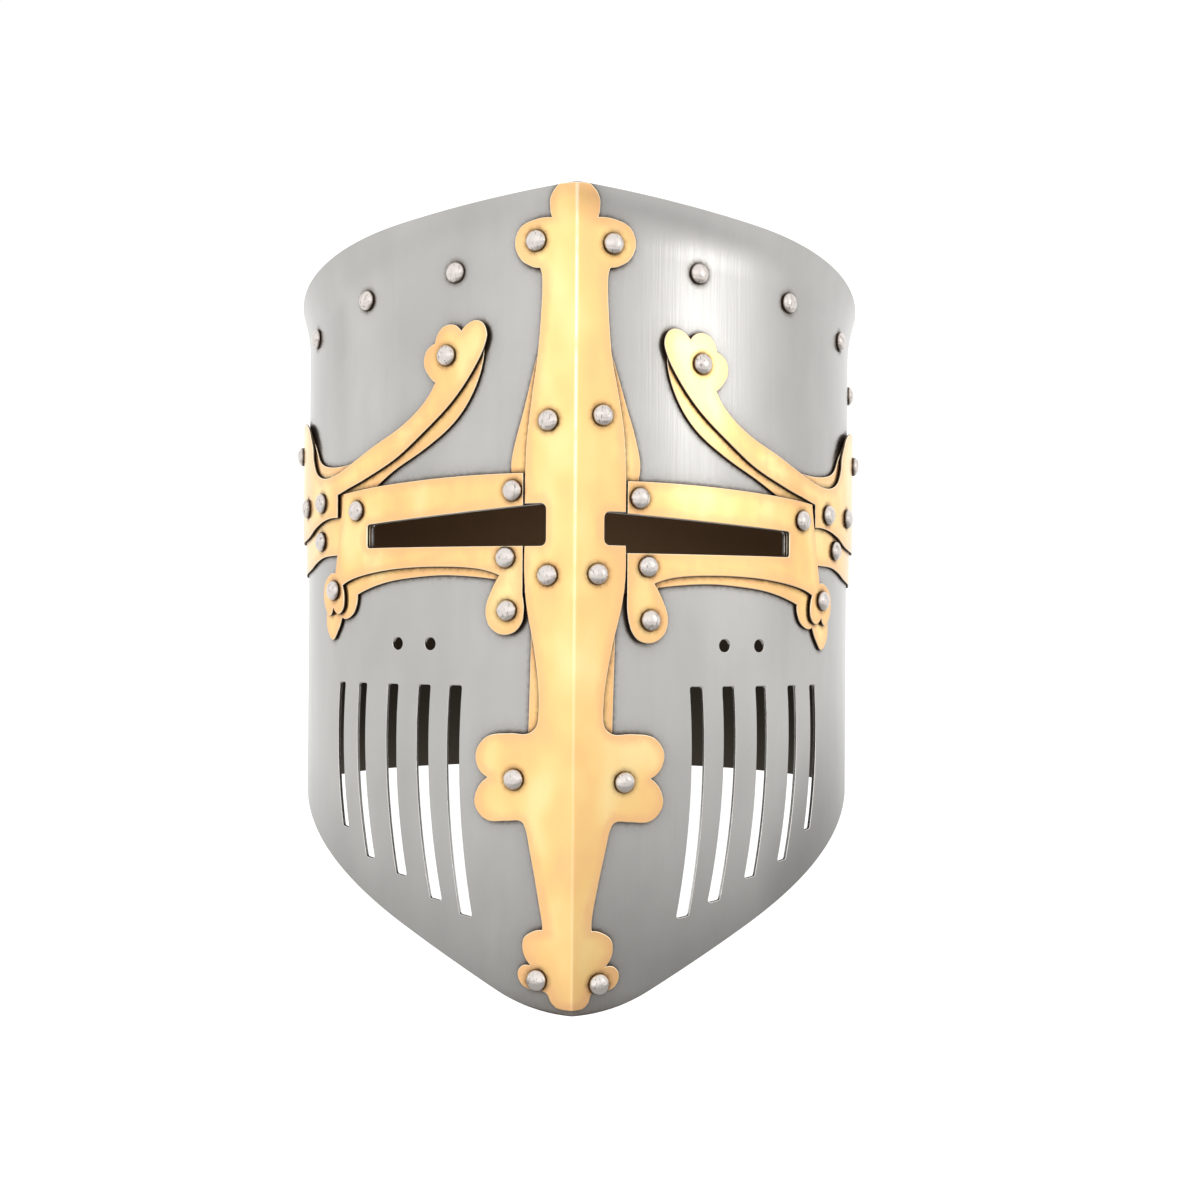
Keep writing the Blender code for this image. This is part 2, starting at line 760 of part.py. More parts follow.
def make_rivet(name, along, height, offset, material):
    """Make one dome-headed rivet standing on its sheet."""
    bm = bmesh.new()
    rings = []
    for step in range(RIVET_RINGS):
        angle = 0.5 * math.pi * step / RIVET_RINGS
        radius = RIVET_RADIUS * math.cos(angle) * MM
        rise = RIVET_HEIGHT * math.sin(angle) * MM
        verts = bmesh.ops.create_circle(bm, segments=RIVET_SIDES, radius=radius)["verts"]
        bmesh.ops.translate(bm, verts=verts, vec=(0, 0, rise))
        rings.append([edge for edge in bm.edges if edge.verts[0] in verts])
    for near, far in zip(rings, rings[1:]):
        bmesh.ops.bridge_loops(bm, edges=near + far)
    for edges in (rings[0], rings[-1]):
        bmesh.ops.contextual_create(bm, geom=edges)
    rivet = finish(name, bm, material)
    out = PLAN.outward(along)
    side = Vector((-out.y, out.x, 0.0))
    turn = Matrix((side, Vector((0.0, 0.0, 1.0)), out)).transposed()
    rivet.location = wall_point(along, offset + GAP, height) * MM
    rivet.rotation_euler = turn.to_euler()
    return rivet


def make_trim(material):
    """Make the brass: ridge bar, sight frames and branches, over their underlays."""
    bar = across_ridge(RIDGE_BAR_UPPER, RIDGE_BAR_LOWER, BAR_EDGE, [side.notch for side in SIDES])
    under = across_ridge(
        RIDGE_UNDERLAY_UPPER, RIDGE_UNDERLAY_LOWER, BAR_UNDERLAY_EDGE,
        [(side.sight_top[0], side.sight_bottom[0]) for side in SIDES],
    )
    pieces = [
        bend_plate("ridge_underlay", under, UNDER_LAYER, material),
        bend_plate("ridge_bar", bar, TOP_LAYER, material),
    ]
    for side in SIDES:
        arm = set_by_hand(ARM_UNDERLAY, side, ARM_EDGE, BRANCH_LINE)
        arm += sight_rows(side, ARM_EDGE, SHARP)
        frame = set_by_hand(SIGHT_FRAME, side, FRAME_EDGE, BRANCH_LINE)
        frame += sight_rows(side, FRAME_EDGE, SHARP)
        branch = set_by_hand(SIDE_BRANCH, side, 0.0, 0.0)
        for name, rows, layer in (
            ("arm_underlay", arm, UNDER_LAYER),
            ("sight_frame", frame, TOP_LAYER),
            ("side_branch", branch, TOP_LAYER),
        ):
            outline = mirrored(trace(rows)) if side.sign < 0.0 else trace(rows)
            pieces.append(bend_plate(f"{name}_{side.name}", outline, layer, material))
    return pieces


def make_rivets(material):
    """Make the rivets of the trim and the seams, and the ring that holds the crown."""
    places = []
    for name, *spots, offset in BRASS_RIVETS:
        for side, along, height in zip(SIDES, spots[::2], spots[1::2]):
            places.append((f"rivet_{name}_{side.name}", side.sign * along, height, offset))
    for side in SIDES:
        for name, along, height in SEAM_RIVETS:
            places.append((f"rivet_{name}_{side.name}", side.sign * along, height, FACE_LAYER[1]))
        for index, along in enumerate(RING_RIVETS):
            layer = FACE_LAYER if along < FACE_END else BACK_LAYER
            height = top_height(along) - RING_DROP
            name = f"rivet_ring_{side.name}_{index + 1}"
            places.append((name, side.sign * along, height, layer[1]))
    places += [(f"rivet_temple_{side}", u, z, FACE_LAYER[1]) for side, u, z in TEMPLE_RIVETS]
    return [make_rivet(*place, material) for place in places]


def stand(pieces):
    """Lean the helm back to rest, with the middle of its box's underside at the origin."""
    rest = bpy.data.objects.new("rest_pose", None)
    bpy.context.scene.collection.objects.link(rest)
    lean = Matrix.Rotation(-REST_LEAN, 4, "X")
    corners = [lean @ piece.matrix_basis @ v.co for piece in pieces for v in piece.data.vertices]
    low = [min(corner[axis] for corner in corners) for axis in range(3)]
    high = [max(corner[axis] for corner in corners) for axis in range(3)]
    rest.rotation_euler = (-REST_LEAN, 0.0, 0.0)
    rest.location = (-(low[0] + high[0]) / 2, -(low[1] + high[1]) / 2, -low[2])
    for piece in pieces:
        piece.parent = rest


def main():
    """Build the helm."""
    for old in list(bpy.data.objects):
        bpy.data.objects.remove(old, do_unlink=True)
    steel = make_material("steel")
    brass = make_material("brass")
    rivet_steel = make_material("rivet_steel")
    pieces = make_wall(steel) + [make_crown(steel)] + make_trim(brass) + make_rivets(rivet_steel)
    stand(pieces)


main()
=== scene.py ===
"""Looks of the pot helmet: bent steel sheets, layered brass trim, domed rivets and their finishes.

Every sheet is a flat blank cut to its outline, thickened, broken along its edges and then bent
round the wall of the helm. A blank is drawn in millimetres as (along, height): along runs round
the wall from the front ridge, height runs up from the chin point. Left and right are as seen
from the front. The finished pieces are leaned back with the CAD frame and replace its nodes.
"""
import bisect
import logging
import math
import random
from dataclasses import dataclass, field
from enum import Enum

import bmesh
import bpy
from bpy.types import Material, Node, NodeSocket, Object
from mathutils import Matrix, Vector, kdtree, noise

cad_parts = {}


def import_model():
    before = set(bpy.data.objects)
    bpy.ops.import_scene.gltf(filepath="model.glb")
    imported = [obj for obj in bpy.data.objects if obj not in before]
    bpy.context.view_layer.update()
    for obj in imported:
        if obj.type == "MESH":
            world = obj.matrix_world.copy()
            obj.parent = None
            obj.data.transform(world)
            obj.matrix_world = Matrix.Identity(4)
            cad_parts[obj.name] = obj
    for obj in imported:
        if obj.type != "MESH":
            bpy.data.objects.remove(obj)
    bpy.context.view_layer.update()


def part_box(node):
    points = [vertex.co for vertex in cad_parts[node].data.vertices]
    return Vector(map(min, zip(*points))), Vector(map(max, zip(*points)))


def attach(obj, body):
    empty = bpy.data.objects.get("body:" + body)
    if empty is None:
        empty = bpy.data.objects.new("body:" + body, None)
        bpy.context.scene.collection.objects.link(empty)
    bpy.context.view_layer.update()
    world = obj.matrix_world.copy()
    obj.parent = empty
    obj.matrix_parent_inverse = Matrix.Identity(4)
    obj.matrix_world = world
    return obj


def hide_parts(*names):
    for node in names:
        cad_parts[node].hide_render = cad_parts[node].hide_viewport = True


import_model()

MM = 0.001
BODY = "root"

LOG = logging.getLogger("pot_helmet")

# How an outline turns at a row, where it isn't rounded to a radius.
FLOW = -1.0
SHARP = 0.0

FACE_END = 206.0
SIGHT_INNER = 11.0
BAR_EDGE = 19.8
BAR_UNDERLAY_EDGE = 25.8
FRAME_EDGE = 20.4
ARM_EDGE = 26.3
BRANCH_LINE = 205.0
SIGHT_INNER_FILLET = 2.2
SIGHT_OUTER_FILLET = 1.2

# The ridge bar runs a little off the ridge: (height, along) of its middle.
BAR_DRIFT = (
    (0.0, -0.5), (12.0, -1.5), (40.0, -2.5), (88.0, -2.0), (130.0, -0.8), (150.0, -0.4),
    (165.0, 0.0), (225.0, 0.0), (250.0, -0.7), (290.0, -0.7), (318.0, -1.0),
)


def outline_rows(*spots: tuple) -> tuple:
    """Return an outline's rows as (along, height, turn).

    Args:
        spots: the rows; a row flows on where it names neither SHARP nor a fillet's radius.

    Returns:
        The rows, each with its turn.
    """
    return tuple((*spot, FLOW)[:3] for spot in spots)


RIDGE_BAR_UPPER = outline_rows(
    (4.2, 314.0, SHARP), (8.2, 309.6), (8.8, 305.0), (8.3, 302.2, SHARP), (15.0, 301.9),
    (21.4, 299.3), (23.9, 293.4), (21.6, 287.4), (17.0, 284.2), (13.4, 283.4, SHARP),
    (12.5, 279.0), (12.9, 266.0), (14.3, 250.0), (16.7, 236.0), (19.0, 220.0), (19.8, 204.0),
)

RIDGE_BAR_LOWER = outline_rows(
    (19.8, 166.0), (18.4, 154.0), (15.2, 140.0), (12.7, 124.0), (12.4, 112.0), (13.6, 108.6),
    (17.0, 106.5), (24.0, 106.6), (33.4, 105.2), (38.2, 99.6), (37.4, 93.2), (33.0, 89.3, SHARP),
    (37.4, 84.6), (38.2, 78.2), (33.0, 72.9), (24.0, 72.9), (18.5, 73.0), (16.4, 70.0),
    (15.0, 64.0), (12.0, 50.0), (9.4, 36.0), (9.2, 32.4, SHARP), (13.0, 31.6), (17.0, 28.6),
    (17.4, 23.4), (14.6, 18.7, SHARP), (18.0, 18.2), (19.9, 15.0), (18.2, 11.0), (14.4, 9.2),
    (10.2, 9.2, SHARP), (8.0, 8.0), (6.8, 5.2), (3.9, 2.9),
)

RIDGE_UNDERLAY_UPPER = outline_rows(
    (12.0, 256.0, 2.0), (15.2, 249.5), (17.8, 241.0), (20.8, 230.5), (23.9, 220.5), (26.2, 210.5),
    (25.8, 204.6, SHARP), (25.8, 201.5, SHARP),
)

RIDGE_UNDERLAY_LOWER = outline_rows(
    (25.8, 163.0, SHARP), (17.6, 157.0), (16.8, 150.0, SHARP), (16.8, 98.0, 2.0),
)

SIGHT_FRAME = outline_rows(
    (20.4, 204.6, SHARP), (50.0, 204.2), (82.0, 202.4), (110.8, 199.9, SHARP), (113.6, 184.0),
    (117.0, 167.8, SHARP), (121.8, 167.2), (126.4, 163.4), (127.2, 157.4), (124.6, 152.2),
    (121.0, 150.4), (118.6, 153.6, SHARP), (114.6, 150.9), (110.8, 152.8), (109.9, 157.4),
    (111.2, 162.6, SHARP), (104.0, 165.0), (91.0, 167.3), (76.0, 168.8), (58.0, 169.2),
    (41.0, 168.2), (31.2, 165.6, SHARP), (34.6, 159.8), (37.0, 153.2), (36.2, 147.4),
    (32.8, 143.8), (28.4, 142.7), (23.8, 144.3), (20.9, 149.0), (20.4, 158.0, SHARP),
)

ARM_UNDERLAY = outline_rows(
    (26.3, 202.4, SHARP), (50.0, 202.0), (78.0, 200.6), (94.0, 199.4, SHARP), (82.0, 207.2),
    (65.5, 215.8), (52.5, 224.8), (44.3, 235.0), (39.2, 247.8), (39.6, 256.6), (45.0, 258.4),
    (53.0, 257.0), (58.6, 250.0), (58.8, 240.0), (65.0, 231.2), (76.0, 223.0), (89.5, 216.4),
    (101.0, 213.2), (114.0, 211.6), (127.0, 212.4), (135.5, 215.2), (141.6, 221.6),
    (147.6, 225.8), (156.0, 230.6), (170.0, 232.0), (184.0, 230.6), (192.4, 224.6),
    (196.2, 216.0, SHARP), (202.4, 206.0), (203.0, 195.0), (199.4, 185.4), (192.0, 180.6, SHARP),
    (193.6, 174.0), (190.0, 170.0), (182.0, 167.6), (172.0, 168.4), (160.0, 169.0),
    (149.0, 170.4), (140.0, 172.8), (131.0, 174.6), (123.0, 175.0), (115.9, 175.0, SHARP),
    (117.0, 169.6, SHARP), (118.8, 165.6, SHARP), (124.0, 163.0), (126.2, 155.0), (127.0, 146.4),
    (121.6, 140.3), (116.8, 143.8), (113.4, 149.4, SHARP), (109.6, 148.9), (105.0, 151.0),
    (102.8, 154.6), (102.2, 158.7, SHARP), (86.0, 163.2), (70.0, 165.2), (54.0, 165.8),
    (33.2, 164.0, SHARP), (34.8, 156.0), (34.2, 149.4), (28.6, 145.2, SHARP),
    (26.3, 146.6, SHARP),
)

SIDE_BRANCH = outline_rows(
    (115.2, 190.4, SHARP), (115.2, 199.8, SHARP), (108.0, 201.6), (96.0, 205.2), (80.0, 212.0),
    (67.0, 221.0), (53.0, 232.6), (43.0, 244.8), (37.0, 256.6), (38.2, 262.6), (42.8, 264.2),
    (48.2, 260.6, SHARP), (52.2, 263.4), (57.4, 262.2), (60.4, 256.6, SHARP), (64.6, 253.6),
    (65.6, 248.6), (63.4, 244.2), (60.2, 241.2, SHARP), (66.4, 232.8), (77.4, 224.6),
    (91.0, 218.2), (104.0, 212.4), (116.0, 208.4), (127.0, 207.4), (136.4, 210.2), (141.4, 216.4),
    (142.6, 221.4), (146.4, 226.6, SHARP), (150.6, 230.8), (159.0, 233.7), (170.0, 234.2),
    (181.0, 233.7), (189.4, 230.8), (193.6, 226.6, SHARP), (197.8, 221.8), (198.4, 215.8),
    (192.6, 210.6, SHARP), (198.4, 206.4), (200.0, 197.4), (196.4, 190.4), (188.0, 188.4, SHARP),
    (186.8, 184.4), (180.0, 182.0), (170.0, 182.6), (158.0, 182.8), (147.0, 184.2),
    (139.0, 186.8), (130.0, 189.2), (122.0, 190.4),
)

Outline = list[Vector]


class Layer(Enum):
    """Where a sheet lies, as its (inner, outer) offsets from the steel's outer face."""

    BACK = (-3.3, -1.8)
    FACE = (-1.5, 0.0)
    UNDER = (0.3, 1.2)
    TOP = (1.5, 2.5)


@dataclass(frozen=True)
class HandSet:
    """How one side of the face was cut and set: no two sides of a hand-made helm agree."""

    sign: float
    frame_along: float
    branch_along: float
    trim_height: float
    sight_outer: float
    sight_top: tuple[float, float]
    sight_bottom: tuple[float, float]
    notch: tuple[float, float]
    breath_spread: float
    vents: tuple[float, float]


class Side(Enum):
    """The two sides of the face, each with its own setting."""

    LEFT = HandSet(
        sign=-1.0, frame_along=-0.8, branch_along=-0.4, trim_height=1.3,
        sight_outer=94.0, sight_top=(194.1, 187.9), sight_bottom=(178.0, 178.6),
        notch=(194.1, 178.0), breath_spread=0.988, vents=(63.0, 79.1),
    )
    RIGHT = HandSet(
        sign=1.0, frame_along=0.8, branch_along=-1.3, trim_height=-1.6,
        sight_outer=96.4, sight_top=(191.0, 186.3), sight_bottom=(175.5, 176.2),
        notch=(191.0, 178.4), breath_spread=1.012, vents=(65.2, 82.4),
    )

    @property
    def word(self) -> str:
        """Return the side's name as piece names have it."""
        return self.name.lower()


# ----------------------------------------------------------------------------- outlines


@dataclass(frozen=True)
class Drafting:
    """How finely outlines are drawn: points to a span, and how far a fillet strays."""

    span_steps: int = 6
    fillet_sag: float = 0.02

    def fillet(self, before: Vector, corner: Vector, after: Vector, radius: float) -> Outline:
        """Draw the round that replaces a corner.

        Args:
            before: the outline's point before the corner.
            corner: the corner itself.
            after: the outline's point after the corner.
            radius: the round's radius.

        Returns:
            The round's points, in order.
        """
        back = (before - corner).normalized()
        ahead = (after - corner).normalized()
        half = 0.5 * back.angle(ahead)
        reach = radius / math.tan(half)
        centre = corner + (back + ahead).normalized() * radius / math.sin(half)
        start = corner + back * reach - centre
        sweep = start.angle_signed(corner + ahead * reach - centre)
        steps = math.ceil(abs(sweep) / (2 * math.acos(1 - self.fillet_sag / radius)))
        turns = (Matrix.Rotation(-sweep * step / steps, 2) for step in range(steps + 1))
        return [centre + turn @ start for turn in turns]

    def trace(self, rows: tuple) -> Outline:
        """Draw a closed outline through its rows.

        Args:
            rows: the outline's (along, height, turn) rows.

        Returns:
            The outline's points, in order.
        """
        spots = [Vector(row[:2]) for row in rows]
        count = len(rows)
        headings = [(spots[(i + 1) % count] - spots[i - 1]).normalized() for i in range(count)]
        points: Outline = []
        for i, (_, _, turn) in enumerate(rows):
            following = (i + 1) % count
            here, there = spots[i], spots[following]
            if turn > 0.0:
                points += self.fillet(spots[i - 1], here, there, turn)
            else:
                points.append(here)
            chord = there - here
            leave = headings[i] if turn == FLOW else None
            arrive = headings[following] if rows[following][2] == FLOW else None
            if leave is None and arrive is None:
                continue
            if leave is None:
                leave = (2 * chord.normalized() - arrive).normalized()
            if arrive is None:
                arrive = (2 * chord.normalized() - leave).normalized()
            for step in range(1, self.span_steps):
                t = step / self.span_steps
                points.append(
                    here * (1 + 2 * t) * (1 - t) ** 2
                    + there * t * t * (3 - 2 * t)
                    + leave * chord.length * t * (1 - t) ** 2
                    - arrive * chord.length * t * t * (1 - t)
                )
        return points


def mirrored(points: Outline) -> Outline:
    """Return an outline turned over to the other side of the ridge."""
    return [Vector((-p.x, p.y)) for p in reversed(points)]


def bar_drift(height: float) -> float:
    """Return how far the middle of the ridge bar strays to the side.

    Args:
        height: the height that is asked about.

    Returns:
        How far it lies along the wall from the ridge.
    """
    for (low, before), (high, after) in zip(BAR_DRIFT, BAR_DRIFT[1:]):
        if height <= high:
            break
    return before + (after - before) * (height - low) / (high - low)


def across_ridge(drafting: Drafting, upper: tuple, lower: tuple, edge: float,
                 notches: list[tuple[float, float]]) -> Outline:
    """Draw the outline of a piece that straddles the ridge, notched on each side.

    Args:
        drafting: how finely it is drawn.
        upper: one half's rows above the notch.
        lower: one half's rows below the notch.
        edge: where the notch begins.
        notches: the left and right notch as (top, bottom).

    Returns:
        The outline's points.
    """
    left, right = (
        upper + (
            (edge, top, SHARP),
            (SIGHT_INNER, top, SIGHT_INNER_FILLET),
            (SIGHT_INNER, bottom, SIGHT_INNER_FILLET),
            (edge, bottom, SHARP),
        ) + lower
        for top, bottom in notches
    )
    other = tuple((-along, height, turn) for along, height, turn in reversed(left))
    return [Vector((p.x + bar_drift(p.y), p.y)) for p in drafting.trace(right + other)]


def sight_rows(side: Side, edge: float, corner: float) -> tuple:
    """Return the rows of one sight slot, from below its inner end round to above it.

    Args:
        side: the side it is cut in.
        edge: where the rows begin.
        corner: the fillet at the inner end.

    Returns:
        The four rows.
    """
    cut = side.value
    rows = []
    share = (edge - SIGHT_INNER) / (cut.sight_outer - SIGHT_INNER)
    for near, far in (cut.sight_bottom, cut.sight_top):
        rows += [
            (edge, near + (far - near) * share, corner),
            (cut.sight_outer, far, SIGHT_OUTER_FILLET),
        ]
    return tuple(rows[:2] + rows[:1:-1])


def set_by_hand(rows: tuple, side: Side, edge: float, line: float) -> tuple:
    """Move a side's rows to where its trim was set; the inner edge stays put.

    Args:
        rows: the rows as drawn.
        side: the side that they are set on.
        edge: where the inner edge lies.
        line: the height above which rows go with the branch, and below it with the frame.

    Returns:
        The moved rows.
    """
    cut = side.value
    placed = []
    for along, height, turn in rows:
        shift = cut.branch_along if height > line else cut.frame_along
        placed.append((along + (shift if along > edge else 0.0), height + cut.trim_height, turn))
    return tuple(placed)


# ----------------------------------------------------------------------------- the wall


@dataclass
class Wall:
    """The bent wall of the helm: its plan curve, flared top edge and planished surface."""

    crease_spread: float = 6.0
    crease_round: float = 0.35
    ridge_heading: float = math.radians(19.5)
    cheek_arc: tuple[float, float] = (334.0, math.radians(13.0))
    temple_arc: tuple[float, float] = (112.0, math.radians(57.5))
    side_arc: tuple[float, float] = (300.0, math.radians(6.5))
    ridge_top: float = 315.0
    top_slope: float = 0.249
    flare_out: float = 3.4
    flare_depth: float = 22.0
    dent_depth: float = 0.16
    dent_size: float = 42.0
    lean: float = math.radians(16.35)
    arcs: list[tuple[float, float, float, float, float]] = field(default_factory=list)
    length: float = 0.0
    pose: Matrix = field(default_factory=Matrix)

    def __post_init__(self) -> None:
        """Lay the arcs end to end, close the curve at the nape and find the resting pose."""
        along, x, y, heading = 0.0, 0.0, 0.0, self.ridge_heading
        for radius, turn in (self.cheek_arc, self.temple_arc, self.side_arc):
            self.arcs.append((along, x, y, heading, radius))
            end = heading + turn
            x += radius * (math.sin(end) - math.sin(heading))
            y += radius * (math.cos(heading) - math.cos(end))
            along, heading = along + radius * turn, end
        radius = x / math.sin(heading)
        self.arcs.append((along, x, y, heading, radius))
        self.length = along + radius * (math.pi - heading)
        self.pose = self._resting_pose()

    def _resting_pose(self) -> Matrix:
        """Find how the helm rests.

        Returns:
            The move from the helm's own axes, in millimetres, to the leaned frame.
        """
        low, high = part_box("face_plate")
        peak = Vector((0.0, -self.flare_out / math.cos(self.ridge_heading), self.ridge_top)) * MM
        turn = Matrix.Rotation(-self.lean, 4, "X")
        rise = high.z - (turn @ peak).z
        return Matrix.Translation((0.0, low.y, rise)) @ turn @ Matrix.Scale(MM, 4)

    def plan(self, along: float, offset: float) -> tuple[float, float]:
        """Find a place of the plan; the fold at the ridge stays crisp in each layer.

        Args:
            along: the distance round the wall from the ridge.
            offset: how far it lies outside the steel's outer face.

        Returns:
            Its x and y in the helm's own axes.
        """
        if along > self.length:
            along -= 2 * self.length
        side = math.copysign(1.0, along)
        along = abs(along)
        index = bisect.bisect_right(self.arcs, (along, math.inf)) - 1
        start, x, y, heading, radius = self.arcs[index]
        here = heading + (along - start) / radius
        x += radius * (math.sin(here) - math.sin(heading)) + offset * math.sin(here)
        y += radius * (math.cos(heading) - math.cos(here)) - offset * math.cos(here)
        fade = max(0.0, 1.0 - along / self.crease_spread) ** 2
        slope = math.tan(self.ridge_heading)
        x -= offset * slope * fade * math.cos(here)
        y -= offset * slope * fade * math.sin(here)
        y += slope * fade * (math.hypot(x, self.crease_round) - x)
        return side * x, y

    def top_height(self, along: float) -> float:
        """Return the height of the sloping top edge at a distance along the wall."""
        return self.ridge_top - self.top_slope * self.plan(along, 0.0)[1]

    def point(self, along: float, offset: float, height: float) -> Vector:
        """Bend one place of the blank round the wall.

        Args:
            along: its distance round the wall from the ridge.
            offset: how far it lies outside the steel's outer face.
            height: its height over the chin point.

        Returns:
            The point in the helm's own axes.
        """
        drop = self.top_height(along) - height
        out = offset + self.flare_out * max(0.0, 1.0 - drop / self.flare_depth) ** 2
        x, y = self.plan(along, out)
        ripple = noise.noise(Vector((x, y, height)) / self.dent_size)
        x, y = self.plan(along, out - self.dent_depth * 0.5 * (1.0 + ripple))
        return Vector((x, y, height))

    def slopes(self, along: float, offset: float, height: float) -> Matrix:
        """Find how the bent point moves with its place on the blank.

        Args:
            along: its distance round the wall from the ridge.
            offset: how far it lies outside the steel's outer face.
            height: its height over the chin point.

        Returns:
            The moves with along, offset and height, as columns.
        """
        step = 0.05
        here = self.point(along, offset, height)
        return Matrix((
            self.point(along + step, offset, height) - here,
            self.point(along, offset + step, height) - here,
            self.point(along, offset, height + step) - here,
        )).transposed()


WALL = Wall()


# ----------------------------------------------------------------------------- sheet work


@dataclass(frozen=True)
class SheetShop:
    """The tools that turn an outline into a bent sheet with broken edges."""

    station_step: float = 2.5
    ridge_stations: tuple[float, ...] = (0.12, 0.26, 0.44, 0.7, 1.1, 1.8)
    row_step: float = 3.5
    flare_step: float = 2.2
    edge_break: float = 0.36
    rim_width: float = 6.0
    open_rim: float = 4.0
    slack: float = 0.05
    drafting: Drafting = Drafting()

    def stations(self) -> list[float]:
        """Space the lines at which a blank is scored, once round the wall.

        Returns:
            Their distances along the wall.
        """
        near = [0.0, *self.ridge_stations]
        while near[-1] < WALL.length:
            near.append(near[-1] + self.station_step)
        near[-1] = WALL.length
        right = near + [2 * WALL.length - along for along in near[-2::-1]]
        return [-along for along in near[:0:-1]] + right

    @staticmethod
    def score(bm: bmesh.types.BMesh, point: tuple, normal: tuple) -> None:
        """Cut a line across a blank without parting it."""
        geom = bm.verts[:] + bm.edges[:] + bm.faces[:]
        bmesh.ops.bisect_plane(bm, geom=geom, dist=1e-4, plane_co=point, plane_no=normal)

    @staticmethod
    def fill(outline: Outline, holes: list[Outline]) -> bmesh.types.BMesh:
        """Cut a flat sheet from its outline and holes.

        Args:
            outline: the sheet's outline.
            holes: the outlines of its openings.

        Returns:
            The sheet as a mesh in the plane of along and height, facing -Y.
        """
        bm = bmesh.new()
        for loop in [outline] + holes:
            verts = [bm.verts.new((p.x, 0.0, p.y)) for p in loop]
            for a, b in zip(verts, verts[1:] + verts[:1]):
                bm.edges.new((a, b))
        bmesh.ops.triangle_fill(bm, edges=bm.edges[:], use_beauty=True, normal=(0, -1, 0))
        bmesh.ops.dissolve_limit(
            bm, angle_limit=math.radians(0.05), verts=bm.verts[:], edges=bm.edges[:],
        )
        bmesh.ops.recalc_face_normals(bm, faces=bm.faces[:])
        if bm.faces[0].normal.y > 0:
            bmesh.ops.reverse_faces(bm, faces=bm.faces[:])
        return bm

    def thicken(self, bm: bmesh.types.BMesh, layer: Layer) -> None:
        """Thicken a flat sheet to fill its layer and break all its edges.

        Args:
            bm: the flat sheet.
            layer: the layer that it fills, its offsets then running along -Y.
        """
        inner, outer = layer.value
        grown = bmesh.ops.extrude_face_region(bm, geom=bm.faces[:])["geom"]
        front = {item for item in grown if isinstance(item, bmesh.types.BMVert)}
        for vert in bm.verts:
            vert.co.y = -outer if vert in front else -inner
        bmesh.ops.recalc_face_normals(bm, faces=bm.faces[:])
        rims = [e for e in bm.edges if e.is_manifold and e.calc_face_angle() > math.radians(80)]
        rims = [e for e in rims if abs(e.verts[0].co.y - e.verts[1].co.y) < 1e-6]
        bmesh.ops.bevel(
            bm, geom=rims, offset=self.edge_break, offset_type="OFFSET", segments=2,
            profile=0.5, affect="EDGES", clamp_overlap=False, material=-1,
        )

    def score_all(self, bm: bmesh.types.BMesh) -> None:
        """Score a thickened blank at every station it covers, and in rows below its top edge.

        Args:
            bm: the thickened blank.
        """
        low = min(v.co.x for v in bm.verts)
        high = max(v.co.x for v in bm.verts)
        for along in self.stations():
            if low + self.slack < along < high - self.slack:
                self.score(bm, (along, 0, 0), (1, 0, 0))
        shears = {vert: WALL.ridge_top - WALL.top_height(vert.co.x) for vert in bm.verts}
        for vert, shear in shears.items():
            vert.co.z += shear
        low = min(v.co.z for v in bm.verts)
        high = max(v.co.z for v in bm.verts)
        row = WALL.ridge_top - self.flare_step
        while row > low:
            if row < high - self.slack:
                self.score(bm, (0, 0, row), (0, 0, 1))
            near_top = row > WALL.ridge_top - WALL.flare_depth
            row -= self.flare_step if near_top else self.row_step
        for vert in bm.verts:
            vert.co.z -= WALL.ridge_top - WALL.top_height(vert.co.x)

    @staticmethod
    def read_edges(bm: bmesh.types.BMesh) -> dict:
        """Find each corner's flat normal and how far it lies over the cut edge.

        Args:
            bm: the scored blank, still flat.

        Returns:
            (normal, cut) by vertex: cut is 0 on the sheet's faces and 1 on its cut edge.
        """
        bm.normal_update()
        found = {}
        for vert in bm.verts:
            faces = [(face.normal, face.calc_area()) for face in vert.link_faces]
            broad = [normal for normal, _ in faces if abs(normal.y) > 0.999]
            side = [normal * area for normal, area in faces if abs(normal.y) < 0.02]
            if broad:
                found[vert] = (Vector((0.0, math.copysign(1.0, broad[0].y), 0.0)), 0.0)
            elif side:
                found[vert] = (sum(side, Vector()).normalized(), 1.0)
            else:
                mean = sum((normal * area for normal, area in faces), Vector()).normalized()
                found[vert] = (mean, 0.5)
        return found

    def rims(self, bm: bmesh.types.BMesh, found: dict) -> list[float]:
        """Return how far in from the sheet's edges each corner lies, from 0 to 1.

        Args:
            bm: the scored blank, still flat.
            found: what read_edges found.

        Returns:
            The share of the rim's width, corner by corner.
        """
        edges = [vert for vert in bm.verts if found[vert][1] > 0.4]
        tree = kdtree.KDTree(len(edges))
        for index, vert in enumerate(edges):
            tree.insert((vert.co.x, 0.0, vert.co.z), index)
        tree.balance()
        reach = (tree.find((vert.co.x, 0.0, vert.co.z))[2] for vert in bm.verts)
        return [min(1.0, distance / self.rim_width) for distance in reach]

